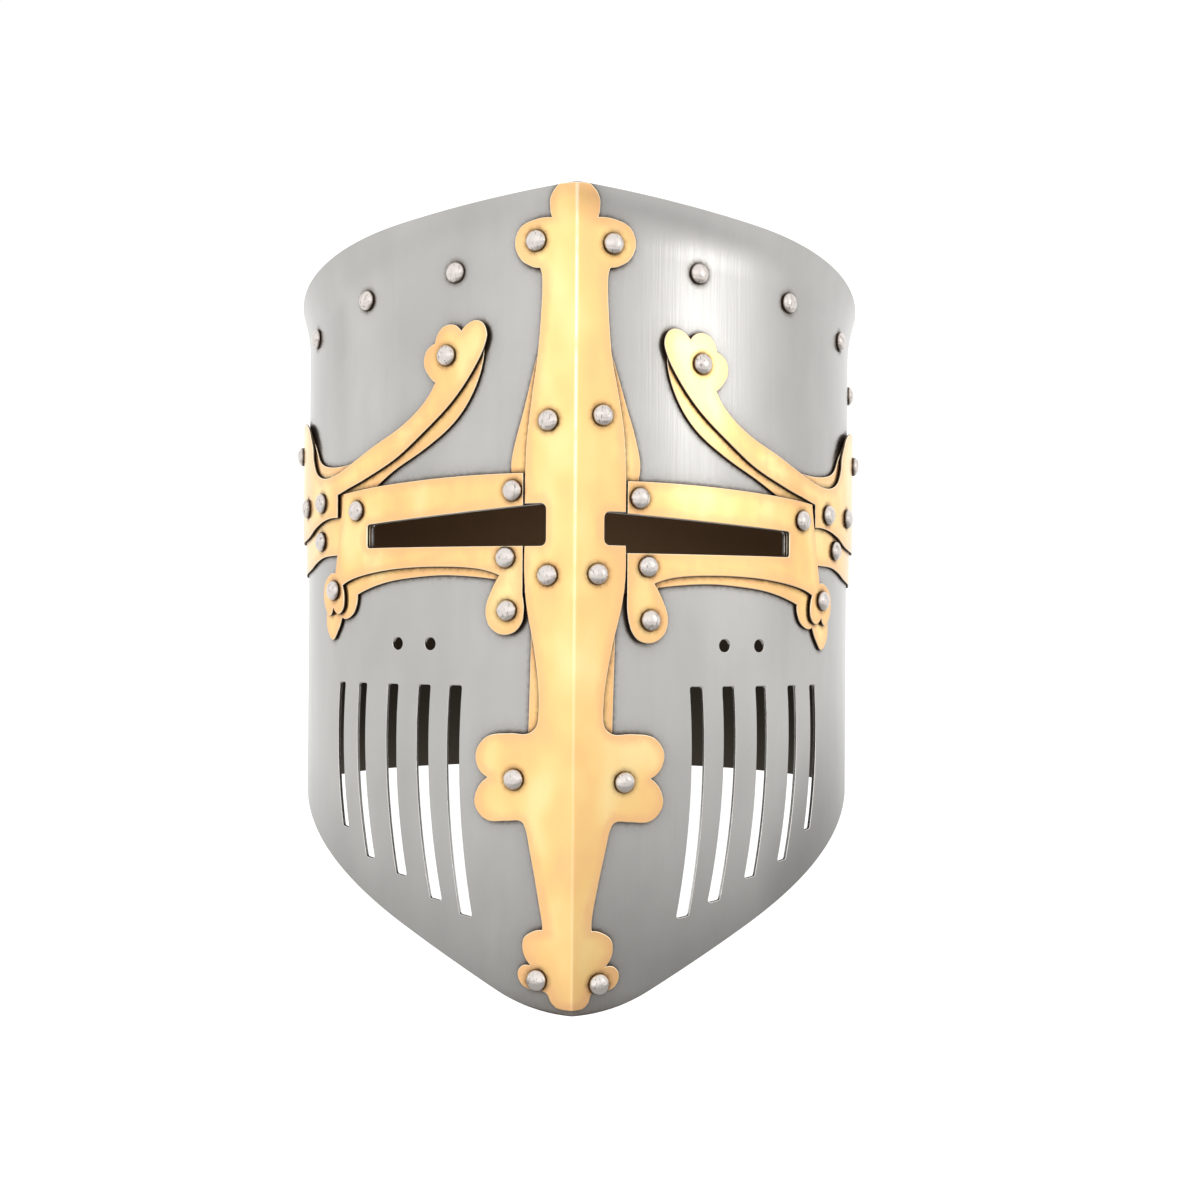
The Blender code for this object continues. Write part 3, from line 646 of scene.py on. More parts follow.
    def bend(self, name: str, bm: bmesh.types.BMesh, layer: Layer) -> Object:
        """Bend a scored blank round the wall and make it an object.

        Args:
            name: the piece's name.
            bm: the scored blank; it is used up.
            layer: the layer that the blank fills.

        Returns:
            The piece, with its blank places, cut edges, rims and depth as attributes.
        """
        inner, outer = layer.value
        found = self.read_edges(bm)
        rims = self.rims(bm, found)
        blank, cut, depth, normals = [], [], [], []
        for vert in bm.verts:
            along, offset, height = vert.co.x, -vert.co.y, vert.co.z
            flat, edge = found[vert]
            flat = Vector((flat.x, -flat.y, flat.z))
            turned = WALL.slopes(along, offset, height).inverted().transposed() @ flat
            normals.append((WALL.pose.to_3x3() @ turned).normalized())
            blank += [along * MM, offset * MM, height * MM]
            cut.append(edge)
            covered = (WALL.top_height(along) - height - self.open_rim) / self.open_rim
            depth.append((outer - offset) / (outer - inner) * min(1.0, max(0.0, covered)))
            vert.co = WALL.pose @ WALL.point(along, offset, height)
        mesh = finished(name, bm)
        mesh.normals_split_custom_set_from_vertices(normals)
        record(mesh, blank, cut=cut, rim=rims, depth=depth)
        return link(name, mesh)

    def make(self, name: str, outline: Outline, layer: Layer, holes: tuple = ()) -> Object:
        """Make a bent sheet from its outline.

        Args:
            name: the piece's name.
            outline: the blank's outline.
            layer: the layer that the sheet fills.
            holes: the outlines of its openings.

        Returns:
            The finished piece.
        """
        bm = self.fill(outline, list(holes))
        self.thicken(bm, layer)
        self.score_all(bm)
        return self.bend(name, bm, layer)


def finished(name: str, bm: bmesh.types.BMesh) -> bpy.types.Mesh:
    """Turn a model into a smooth mesh.

    Args:
        name: the mesh's name.
        bm: the model; it is used up.

    Returns:
        The mesh.
    """
    mesh = bpy.data.meshes.new(name)
    bm.to_mesh(mesh)
    bm.free()
    mesh.shade_smooth()
    return mesh


def record(mesh: bpy.types.Mesh, blank: list[float], **masks: list[float]) -> None:
    """Keep what the finishes read as attributes of a mesh.

    Args:
        mesh: the mesh.
        blank: each corner's place on the blank, in metres, one number after the other.
        masks: each corner's masks, by their names.
    """
    mesh.attributes.new("blank", "FLOAT_VECTOR", "POINT").data.foreach_set("vector", blank)
    for name, values in masks.items():
        mesh.attributes.new(name, "FLOAT", "POINT").data.foreach_set("value", values)


def link(name: str, mesh: bpy.types.Mesh) -> Object:
    """Put a mesh into the scene.

    Args:
        name: the object's name.
        mesh: the mesh.

    Returns:
        The object, at the origin.
    """
    piece = bpy.data.objects.new(name, mesh)
    bpy.context.scene.collection.objects.link(piece)
    return piece


SHOP = SheetShop()


def fit(piece: Object, material: Material, slot: str, *nodes: str) -> Object:
    """Dress a piece and let it stand for CAD nodes.

    Args:
        piece: the piece, in place.
        material: its finish.
        slot: not used.
        nodes: the CAD nodes that it replaces.

    Returns:
        The same piece.
    """
    piece.data.materials.append(material)
    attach(piece, BODY)
    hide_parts(*nodes)
    LOG.info("%s: %d faces", piece.name, len(piece.data.polygons))
    return piece


# ----------------------------------------------------------------------------- finishes


class Graph:
    """A node tree under construction."""

    def __init__(self, tree: bpy.types.NodeTree) -> None:
        """Take up a tree."""
        self.tree = tree

    def feed(self, node: Node, entries: dict) -> None:
        """Link or set a node's inputs.

        Args:
            node: the node.
            entries: the sockets and constants that go into it, by input name or number.
        """
        for key, value in entries.items():
            if isinstance(value, NodeSocket):
                self.tree.links.new(value, node.inputs[key])
            else:
                node.inputs[key].default_value = value

    def add(self, kind: str, entries: dict | None = None, **settings: object) -> Node:
        """Add a node.

        Args:
            kind: its type.
            entries: what goes into its inputs, as feed takes it.
            settings: its own settings.

        Returns:
            The node.
        """
        node = self.tree.nodes.new(kind)
        for name, value in settings.items():
            setattr(node, name, value)
        self.feed(node, entries or {})
        return node

    def call(self, group: bpy.types.NodeTree, **entries: object) -> Node:
        """Add a shared group, with its inputs by name."""
        return self.add("ShaderNodeGroup", entries, node_tree=group)

    def math(self, operation: str, *values: object) -> NodeSocket:
        """Return the result of a math node."""
        return self.add("ShaderNodeMath", dict(enumerate(values)), operation=operation).outputs[0]

    def mix(self, share: object, low: object, high: object) -> NodeSocket:
        """Return a colour between two, by a share from 0 to 1."""
        entries = {0: share, 6: low, 7: high}
        return self.add("ShaderNodeMix", entries, data_type="RGBA").outputs[2]

    def blend(self, share: object, low: object, high: object) -> NodeSocket:
        """Return a number between two, by a share from 0 to 1."""
        entries = {0: share, 2: low, 3: high}
        return self.add("ShaderNodeMix", entries, data_type="FLOAT").outputs[0]

    def step(self, value: NodeSocket, start: object, end: object, low: float = 0.0,
             high: float = 1.0) -> NodeSocket:
        """Return a smooth step of a value.

        Args:
            value: the socket that is read.
            start: the value at which the step begins.
            end: the value at which it ends.
            low: what comes out before the step.
            high: what comes out after it.

        Returns:
            The step's socket.
        """
        entries = dict(enumerate((value, start, end, low, high)))
        return self.add("ShaderNodeMapRange", entries, interpolation_type="SMOOTHSTEP").outputs[0]

    def mask(self, name: str) -> NodeSocket:
        """Return one of a piece's own numbers: cut, rim or depth."""
        return self.add("ShaderNodeAttribute", attribute_name=name).outputs["Fac"]

    def blank(self) -> NodeSocket:
        """Return the place on the flat blank that a point of a piece came from."""
        return self.add("ShaderNodeAttribute", attribute_name="blank").outputs["Vector"]

    def split(self, vector: NodeSocket) -> list[NodeSocket]:
        """Return a vector's X, Y and Z."""
        return list(self.add("ShaderNodeSeparateXYZ", {0: vector}).outputs)

    def cells(self, vector: NodeSocket, detail: float) -> NodeSocket:
        """Return soft noise with one cell to each unit of a vector."""
        entries = {"Vector": vector, "Scale": 1.0, "Detail": detail}
        return self.add("ShaderNodeTexNoise", entries).outputs["Fac"]

    def noise(self, vector: NodeSocket, stretch: tuple, detail: float = 2.0,
              seed: float = 0.0) -> NodeSocket:
        """Return soft noise.

        Args:
            vector: the coordinates, in metres.
            stretch: how many of the noise's cells go to a metre, by axis.
            detail: how many finer layers it has.
            seed: where it starts.

        Returns:
            The noise's value, round 0.5.
        """
        entries = {"Vector": vector, "Scale": stretch, "Location": (seed, seed, seed)}
        return self.cells(self.add("ShaderNodeMapping", entries).outputs["Vector"], detail)


def new_group(name: str, takes: dict[str, float], gives: tuple[str, ...]) -> tuple:
    """Start a shared node group of numbers.

    Args:
        name: the group's name.
        takes: its inputs and their defaults.
        gives: its outputs.

    Returns:
        The group, its graph, its input node and its output node.
    """
    group = bpy.data.node_groups.new(name, "ShaderNodeTree")
    for entry, value in takes.items():
        socket = group.interface.new_socket(entry, in_out="INPUT", socket_type="NodeSocketFloat")
        socket.default_value = value
    for entry in gives:
        group.interface.new_socket(entry, in_out="OUTPUT", socket_type="NodeSocketFloat")
    graph = Graph(group)
    return group, graph, graph.add("NodeGroupInput"), graph.add("NodeGroupOutput")


def crevice_group() -> bpy.types.NodeTree:
    """Build the masks of the dark corners between pieces: a line of patina and painted shade, and a
    soft halo of painted shade.

    Returns:
        The group.
    """
    takes = {"Line Reach": 0.0025, "Halo Reach": 0.0080, "Line End": 0.27, "Halo End": 0.36}
    group, graph, entry, result = new_group("crevice", takes, ("Line", "Halo"))
    place = graph.add("ShaderNodeTexCoord").outputs["Object"]
    ragged = graph.noise(place, (520.0, 520.0, 520.0), 3.0)
    ragged = graph.math("MULTIPLY", graph.math("SUBTRACT", ragged, 0.5), 0.16)
    # The occlusion at each reach darkens where shade falls between pieces: painted shade.
    for name, start in (("Line", 0.07), ("Halo", 0.015)):
        reach = {"Distance": entry.outputs[f"{name} Reach"]}
        open_sky = graph.add("ShaderNodeAmbientOcclusion", reach, samples=6).outputs["AO"]
        shut = graph.math("ADD", graph.math("SUBTRACT", 1.0, open_sky), ragged)
        graph.feed(result, {name: graph.step(shut, start, entry.outputs[f"{name} End"])})
    return group


def grain_group() -> bpy.types.NodeTree:
    """Build the upright grain of a brushed sheet, with its faint clouds.

    Returns:
        The group.
    """
    takes = {"Across": 900.0, "Along": 22.0}
    group, graph, entry, result = new_group("grain", takes, ("Fine", "Broad", "Cloud"))
    blank = graph.blank()
    axes = graph.split(blank)
    for name, share, detail in (("Fine", 1.0, 3.0), ("Broad", 0.16, 2.0)):
        stretched = []
        for axis, size in zip(axes, ("Across", "Across", "Along")):
            cells = graph.math("MULTIPLY", entry.outputs[size], share)
            stretched.append(graph.math("MULTIPLY", axis, cells))
        spread = graph.add("ShaderNodeCombineXYZ", dict(enumerate(stretched))).outputs[0]
        graph.feed(result, {name: graph.cells(spread, detail)})
    graph.feed(result, {"Cloud": graph.noise(blank, (34.0, 34.0, 20.0), 3.0, 4.0)})
    return group


Colour = tuple[float, float, float, float]
# Dark brown of patina and of painted shade in corners and on cut sides, then the soft halo of
# painted shade on brass and on steel.
PATINA_AND_SHADE: Colour = (0.060, 0.032, 0.014, 1.0)
WARM_SHADE: Colour = (0.40, 0.20, 0.080, 1.0)
GREY_SHADE: Colour = (0.150, 0.125, 0.105, 1.0)
WHITE: Colour = (1.0, 1.0, 1.0, 1.0)


def new_material(name: str) -> tuple[Material, Graph, Node]:
    """Start a material.

    Args:
        name: the material's name.

    Returns:
        The material, its graph and its shader.
    """
    material = bpy.data.materials.new(name)
    material.use_nodes = True
    return material, Graph(material.node_tree), material.node_tree.nodes["Principled BSDF"]


@dataclass(frozen=True)
class Finish:
    """A metal finish: what all of them share."""

    name: str
    crevice: bpy.types.NodeTree
    grain: bpy.types.NodeTree
    # How strong the halo of painted shade and the line of patina and painted shade are.
    halo_shade: float = 0.60
    patina_and_shade_line: float = 0.90

    def paint_corner_shade(self, graph: Graph, base: NodeSocket, halo_shade: Colour) -> tuple[NodeSocket, NodeSocket]:
        """Paint shade on a colour near the corners between pieces.

        Args:
            graph: the metal's graph.
            base: its colour.
            halo_shade: the colour of the halo of painted shade.

        Returns:
            The colour with its halo of painted shade, and the mask of the line of patina and
            painted shade in the corners.
        """
        crevice = graph.call(self.crevice)
        soft = graph.math("MULTIPLY", crevice.outputs["Halo"], self.halo_shade)
        line = graph.math("MULTIPLY", crevice.outputs["Line"], self.patina_and_shade_line)
        return graph.mix(soft, base, halo_shade), line

    @staticmethod
    def metal(graph: Graph, shader: Node, base: NodeSocket, rough: NodeSocket,
              height: NodeSocket, depth: float) -> None:
        """Turn the shader into a metal.

        Args:
            graph: the metal's graph.
            shader: its shader.
            base: its colour.
            rough: its roughness.
            height: its fine relief, from 0 to 1.
            depth: how deep that is, in metres.
        """
        bump = graph.add("ShaderNodeBump", {"Height": height, "Distance": depth})
        graph.feed(shader, {
            "Metallic": 1.0,
            "Base Color": base,
            "Roughness": rough,
            "Normal": bump.outputs["Normal"],
        })


@dataclass(frozen=True)
class SteelFinish(Finish):
    """Satin steel, brushed upright, duller towards the chin and brown inside."""

    high: Colour = (0.445, 0.436, 0.420, 1.0)
    low: Colour = (0.295, 0.289, 0.277, 1.0)
    bright: Colour = (0.74, 0.73, 0.70, 1.0)
    inside_high: Colour = (0.47, 0.31, 0.185, 1.0)
    inside_low: Colour = (0.105, 0.090, 0.070, 1.0)
    roughness: float = 0.235
    relief: float = 0.00003

    def make(self) -> Material:
        """Build the material.

        Returns:
            The material.
        """
        material, graph, shader = new_material(self.name)
        grain = graph.call(self.grain, Across=900.0, Along=22.0)
        height = graph.split(graph.blank())[2]
        rise = graph.step(height, -0.03, 0.115)
        base = graph.mix(rise, self.low, self.high)
        tone = graph.math("MULTIPLY", graph.math("SUBTRACT", grain.outputs["Broad"], 0.5), 0.06)
        cloud = graph.math("SUBTRACT", grain.outputs["Cloud"], 0.5)
        cloud = graph.math("MULTIPLY", cloud, graph.blend(rise, 0.42, 0.28))
        tone = graph.math("ADD", graph.math("ADD", tone, cloud), 1.0)
        shade = graph.add("ShaderNodeHueSaturation", {"Value": tone, "Color": base})
        # Cut edges bright as bare metal and as a painted highlight; near the corners between pieces
        # a halo of painted shade and a line of patina and painted shade.
        cut = graph.step(graph.mask("cut"), 0.1, 0.6)
        base = graph.mix(cut, shade.outputs["Color"], self.bright)
        base, line = self.paint_corner_shade(graph, base, GREY_SHADE)
        base = graph.mix(line, base, PATINA_AND_SHADE)
        depth = graph.step(graph.mask("depth"), 0.75, 0.97)
        inside = graph.step(height, 0.13, 0.18)
        base = graph.mix(depth, base, graph.mix(inside, self.inside_low, self.inside_high))
        fine = grain.outputs["Fine"]
        rough = graph.math("ADD", self.roughness - 0.05, graph.math("MULTIPLY", fine, 0.10))
        rough = graph.blend(graph.math("MAXIMUM", line, depth), rough, 0.55)
        self.metal(graph, shader, base, rough, fine, self.relief)
        return material


@dataclass(frozen=True)
class BrassFinish(Finish):
    """Polished brass with bright edges, rubbed and with a painted highlight, a painted highlight
    along the ridge fold, and dark brown on its cut sides as patina and painted shade.
    """

    base: Colour = (0.955, 0.620, 0.250, 1.0)
    pale: Colour = (0.975, 0.735, 0.345, 1.0)
    rosy: Colour = (0.885, 0.500, 0.240, 1.0)
    # Colour of the bright edges and the ridge fold: rubbed metal and painted highlight.
    edge: Colour = (1.0, 0.92, 0.70, 1.0)
    roughness: float = 0.20
    halo_shade: float = 0.54
    patina_and_shade_line: float = 0.92
    relief: float = 0.00001

    def make(self) -> Material:
        """Build the material.

        Returns:
            The material.
        """
        material, graph, shader = new_material(self.name)
        grain = graph.call(self.grain, Across=500.0, Along=60.0)
        blank = graph.blank()
        mottle = graph.noise(blank, (48.0, 48.0, 26.0), 2.0)
        small = graph.noise(blank, (160.0, 160.0, 90.0), 3.0, 3.0)
        inward = graph.math("ADD", graph.mask("rim"), graph.math("SUBTRACT", small, 0.5))
        inward = graph.step(inward, 0.10, 0.85)
        base = graph.mix(graph.step(mottle, 0.42, 0.70), self.base, self.pale)
        rosy = graph.math("MULTIPLY", graph.math("SUBTRACT", 1.0, inward), 0.72)
        base = graph.mix(rosy, base, self.rosy)
        rosy = graph.math("MULTIPLY", graph.step(mottle, 0.50, 0.28), 0.5)
        base = graph.mix(rosy, base, self.rosy)
        cut = graph.mask("cut")
        along, _, height = graph.split(blank)
        # A thin painted highlight along the ridge fold, fainter lower down and broken by noise.
        fold = graph.step(graph.math("ABSOLUTE", along), 0.0007, 0.0002)
        fold = graph.math("MULTIPLY", fold, graph.step(height, 0.10, 0.27, 0.15, 0.80))
        fold = graph.math("MULTIPLY", fold, graph.step(small, 0.30, 0.55, 0.45, 1.0))
        # Bright edges, as rubbed metal and as a painted highlight, with the fold's painted
        # highlight.
        wear_and_highlight = graph.math("MAXIMUM", graph.step(cut, 0.05, 0.4), fold)
        base = graph.mix(wear_and_highlight, base, self.edge)
        # A halo of painted shade near the corners; dark cut sides as patina and painted shade, with
        # the line of patina and painted shade and the hidden inner faces.
        side = graph.step(cut, 0.6, 0.95)
        base, line = self.paint_corner_shade(graph, base, WARM_SHADE)
        dark_patina_and_shade = graph.math("MAXIMUM", graph.math("MULTIPLY", side, 0.8), line)
        dark_patina_and_shade = graph.math("MAXIMUM", dark_patina_and_shade, graph.step(graph.mask("depth"), 0.7, 0.95))
        broad = graph.math("MULTIPLY", grain.outputs["Broad"], 0.08)
        rough = graph.blend(dark_patina_and_shade, graph.math("ADD", self.roughness - 0.04, broad), 0.5)
        base = graph.mix(dark_patina_and_shade, base, PATINA_AND_SHADE)
        self.metal(graph, shader, base, rough, grain.outputs["Fine"], self.relief)
        return material


@dataclass(frozen=True)
class RivetFinish(Finish):
    """Grey rivet steel, struck and scratched, with a dark foot."""

    base: Colour = (0.645, 0.595, 0.560, 1.0)
    scratch: Colour = (0.210, 0.175, 0.155, 1.0)
    roughness: float = 0.24
    relief: float = 0.00016

    def make(self) -> Material:
        """Build the material.

        Returns:
            The material.
        """
        material, graph, shader = new_material(self.name)
        blank = graph.blank()
        marks = graph.noise(blank, (1300.0, 500.0, 700.0), 4.0)
        wear_and_highlight = graph.step(marks, 0.58, 0.66)
        # A dark foot where the head meets its sheet, with the line of patina and painted shade
        # round it.
        foot = graph.step(graph.mask("cut"), 0.25, 0.8)
        crevice = graph.call(self.crevice).outputs["Line"]
        dark_patina_and_shade = graph.math("MAXIMUM", foot, crevice)
        base = graph.mix(graph.math("MULTIPLY", wear_and_highlight, 0.65), self.base, self.scratch)
        base = graph.mix(dark_patina_and_shade, base, PATINA_AND_SHADE)
        rough = graph.math("ADD", self.roughness, graph.math("MULTIPLY", wear_and_highlight, 0.15))
        dimples = graph.noise(blank, (420.0, 420.0, 420.0), 2.0, 2.0)
        self.metal(graph, shader, base, rough, dimples, self.relief)
        return material


@dataclass(frozen=True)
class Finishes:
    """The helm's three metals."""

    steel: Material
    brass: Material
    rivet: Material

    @classmethod
    def make(cls) -> "Finishes":
        """Build the shared groups and the metals that use them.

        Returns:
            The metals.
        """
        shared = crevice_group(), grain_group()
        return cls(
            SteelFinish("satin_steel", *shared).make(),
            BrassFinish("polished_brass", *shared).make(),
            RivetFinish("rivet_steel_worn", *shared).make(),
        )


# ----------------------------------------------------------------------------- the helm


@dataclass
class SteelPlates:
    """The face plate with its openings, and the back plate tucked inside its ends."""

    finish: Material
    rim: float = 77.0
    chin_slope: float = 0.495
    chin_radius: float = 72.0
    jaw_radius: float = 40.0
    back_start: float = 190.0
    edge_step: float = 2.5
    slots: tuple[tuple[float, ...], ...] = (
        (51.4, 52.5, 45.9, 35.0, 5.6),
        (66.3, 67.2, 60.0, 40.2, 5.6),
        (82.3, 83.2, 77.2, 48.5, 5.3),
        (100.2, 101.1, 94.6, 54.0, 5.1),
        (115.0, 116.1, 111.6, 65.2, 4.5),
    )
    slot_top: float = 124.3
    slot_bend: float = 95.0
    slot_steps: int = 14
    slot_corner: float = 0.9
    foot_slope: float = 0.15
    vent_height: float = 140.4
    vent_radius: float = 2.5
    vent_sides: int = 24

    def chin_edge(self, along: float) -> float:
        """Return the height of the straight part of the lower front edge."""
        lift = self.chin_radius * (math.hypot(1.0, self.chin_slope) - 1.0)
        return self.chin_slope * abs(along) - lift

    def top_edge(self, start: float, end: float) -> Outline:
        """Draw the sloping top edge.

        Args:
            start: where it starts along the wall.
            end: where it ends.

        Returns:
            Its points, in that order.
        """
        count = math.ceil(abs(end - start) / self.edge_step)
        alongs = [start + (end - start) * k / count for k in range(count + 1)]
        return [Vector((along, WALL.top_height(along))) for along in alongs]

    def breath_slot(self, middles: tuple[float, float, float], foot_height: float,
                    width: float) -> Outline:
        """Draw one breath slot, bowed through its middles.

        Args:
            middles: where it runs at its top, at its bend and at its foot.
            foot_height: how high its foot lies.
            width: how wide it is.

        Returns:
            The slot's outline.
        """
        top, bend, foot = middles
        upper_lean = (bend - top) / (self.slot_bend - self.slot_top)
        lower_lean = (foot - bend) / (foot_height - self.slot_bend)
        bow = (lower_lean - upper_lean) / (foot_height - self.slot_top)
        inner, outer = [], []
        for step in range(self.slot_steps + 1):
            down = step / self.slot_steps
            height = self.slot_top + (foot_height - self.slot_top) * down
            lean = upper_lean + bow * (height - self.slot_bend)
            middle = top + (height - self.slot_top) * lean
            slant = self.foot_slope * width / 2 * down
            turn = self.slot_corner if step in (0, self.slot_steps) else SHARP
            inner.append((middle - width / 2, height - slant, turn))
            outer.append((middle + width / 2, height + slant, turn))
        return SHOP.drafting.trace(tuple(outer[:1] + inner + outer[:0:-1]))

    def vent(self, along: float) -> Outline:
        """Draw one round hole in the cheek.

        Args:
            along: where it sits along the wall.

        Returns:
            The hole's outline.
        """
        turns = [math.tau * k / self.vent_sides for k in range(self.vent_sides)]
        return [
            Vector((along + self.vent_radius * math.cos(a),
                    self.vent_height + self.vent_radius * math.sin(a)))
            for a in turns
        ]

    def holes(self) -> tuple:
        """Draw every opening of the face plate, on both sides.

        Returns:
            The openings' outlines.
        """
        found: list[Outline] = []
        for side in Side:
            rows = sight_rows(side, SIGHT_INNER, SIGHT_INNER_FILLET)
            cut = [SHOP.drafting.trace(rows)]
            for top, bend, foot, foot_height, width in self.slots:
                spread = side.value.breath_spread
                middles = (top * spread, bend * spread, foot * spread)
                cut.append(self.breath_slot(middles, foot_height, width))
            cut += [self.vent(along) for along in side.value.vents]
            found += [mirrored(hole) for hole in cut] if side is Side.LEFT else cut
        return tuple(found)

    def build(self) -> None:
        """Make both plates."""
        jaw = (self.rim - self.chin_edge(0.0)) / self.chin_slope
        lower = SHOP.drafting.trace((
            (FACE_END, self.rim, SHARP),
            (jaw, self.rim, self.jaw_radius),
            (0.0, self.chin_edge(0.0), self.chin_radius),
            (-jaw, self.rim, self.jaw_radius),
            (-FACE_END, self.rim, SHARP),
        ))
        outline = self.top_edge(-FACE_END, FACE_END) + lower
        face = SHOP.make("face_sheet", outline, Layer.FACE, self.holes())
        fit(face, self.finish, "steel", "face_plate")
        back_end = 2 * WALL.length - self.back_start
        outline = self.top_edge(self.back_start, back_end)
        outline += [Vector((back_end, self.rim)), Vector((self.back_start, self.rim))]
        back = SHOP.make("back_sheet", outline, Layer.BACK)
        fit(back, self.finish, "steel", "back_plate")


@dataclass
class CrownPlate:
    """The crown, set inside the rim with its edge turned down."""

    finish: Material
    drop: float = 3.0
    flange: float = 33.0
    flange_middle: float = 20.0
    bend: float = 3.0
    bend_steps: int = 5
    thickness: float = 1.5
    inner: float = -1.8
    tuck: float = 1.8
    joggle: tuple[float, float] = (175.0, 190.0)
    stations: int = 264
    cap_inset: float = 1.5
    ridge_limit: float = 3.0
    ridge_ease: float = 0.35

    def spot(self, along: float, inset: float, drop: float) -> Vector:
        """Find a point of the crown's turned edge.

        Args:
            along: its distance round the wall from the ridge.
            inset: how far in it lies from the edge's outer face.
            drop: how far it lies below the wall's top edge.

        Returns:
            The point in the helm's own axes.
        """
        side = min(along, 2 * WALL.length - along)
        start, end = self.joggle
        share = min(1.0, max(0.0, (side - start) / (end - start)))
        offset = self.inner - share * share * (3 - 2 * share) * self.tuck - inset
        limit = self.ridge_limit * math.tan(WALL.ridge_heading) + inset * self.ridge_ease
        near = max(side, limit)
        x, y = WALL.plan(near if along <= WALL.length else 2 * WALL.length - near, offset)
        if side < near:
            x *= side / near
        height = WALL.ridge_top - WALL.top_slope * y - drop
        return Vector((x, y, height))

    def build(self) -> None:
        """Make the crown from its cap outward and down."""
        rows = [(0.0, self.flange), (0.0, self.flange_middle), (0.0, self.drop + self.bend)]
        for k in range(1, self.bend_steps + 1):
            turn = 0.5 * math.pi * k / self.bend_steps
            rows.append((self.bend * (1 - math.cos(turn)),
                         self.drop + self.bend * (1 - math.sin(turn))))
        bm = bmesh.new()
        near: list = []
        for inset, drop in rows:
            ring = []
            for k in range(self.stations):
                along = 2 * WALL.length * k / self.stations
                ring.append(bm.verts.new(self.spot(along, inset, drop)))
            loop = [bm.edges.new((a, b)) for a, b in zip(ring, ring[1:] + ring[:1])]
            if near:
                bmesh.ops.bridge_loops(bm, edges=near + loop)
            near = loop
        cap = bmesh.ops.contextual_create(bm, geom=near)["faces"]
        bmesh.ops.inset_region(bm, faces=cap, thickness=self.cap_inset, use_even_offset=True)
        bmesh.ops.recalc_face_normals(bm, faces=bm.faces[:])
        bmesh.ops.solidify(bm, geom=bm.faces[:], thickness=self.thickness)
        bmesh.ops.recalc_face_normals(bm, faces=bm.faces[:])
        blank, depth = [], []
        for vert in bm.verts:
            blank += [vert.co.x * MM, 0.0, (WALL.ridge_top - vert.co.y) * MM]
            ceiling = WALL.ridge_top - WALL.top_slope * vert.co.y - self.drop
            under = ceiling - vert.co.z > 1.0 and vert.link_faces[0].normal.z < 0
            depth.append(1.0 if under else 0.0)
            vert.co = WALL.pose @ vert.co
        mesh = finished("crown_cap", bm)
        mesh.set_sharp_from_angle(angle=math.radians(40))
        record(mesh, blank, depth=depth)
        fit(link("crown_cap", mesh), self.finish, "steel", "crown")


@dataclass
class BrassTrim:
    """The brass: ridge bar, sight frames and side branches, over their underlays."""

    finish: Material

    def ridge(self) -> None:
        """Make the ridge bar and its underlay."""
        cuts = [side.value for side in Side]
        slots = [(cut.sight_top[0], cut.sight_bottom[0]) for cut in cuts]
        under = (RIDGE_UNDERLAY_UPPER, RIDGE_UNDERLAY_LOWER, BAR_UNDERLAY_EDGE, slots)
        over = (RIDGE_BAR_UPPER, RIDGE_BAR_LOWER, BAR_EDGE, [cut.notch for cut in cuts])
        for name, shape, layer in (
            ("ridge_underlay", under, Layer.UNDER),
            ("ridge_bar", over, Layer.TOP),
        ):
            piece = SHOP.make(f"{name}_brass", across_ridge(SHOP.drafting, *shape), layer)
            fit(piece, self.finish, "brass", name)

    def sides(self) -> None:
        """Make the arm underlay, the sight frame and the branch of each side."""
        for side in Side:
            arm = set_by_hand(ARM_UNDERLAY, side, ARM_EDGE, BRANCH_LINE)
            arm += sight_rows(side, ARM_EDGE, SHARP)
            sight = set_by_hand(SIGHT_FRAME, side, FRAME_EDGE, BRANCH_LINE)
            sight += sight_rows(side, FRAME_EDGE, SHARP)
            branch = set_by_hand(SIDE_BRANCH, side, 0.0, 0.0)
            for name, rows, layer in (
                ("arm_underlay", arm, Layer.UNDER),
                ("sight_frame", sight, Layer.TOP),
                ("side_branch", branch, Layer.TOP),
            ):
                outline = SHOP.drafting.trace(rows)
                outline = mirrored(outline) if side is Side.LEFT else outline
                piece = SHOP.make(f"{name}_brass_{side.word}", outline, layer)
                fit(piece, self.finish, "brass", f"{name}_{side.word}")

    def build(self) -> None:
        """Make the pieces on the ridge, then those of each side."""
        self.ridge()
        self.sides()


@dataclass(frozen=True)
class Spot:
    """Where a rivet sits: its CAD name, its place on the wall and its sheet's offset."""

    name: str
    along: float
    height: float
    offset: float


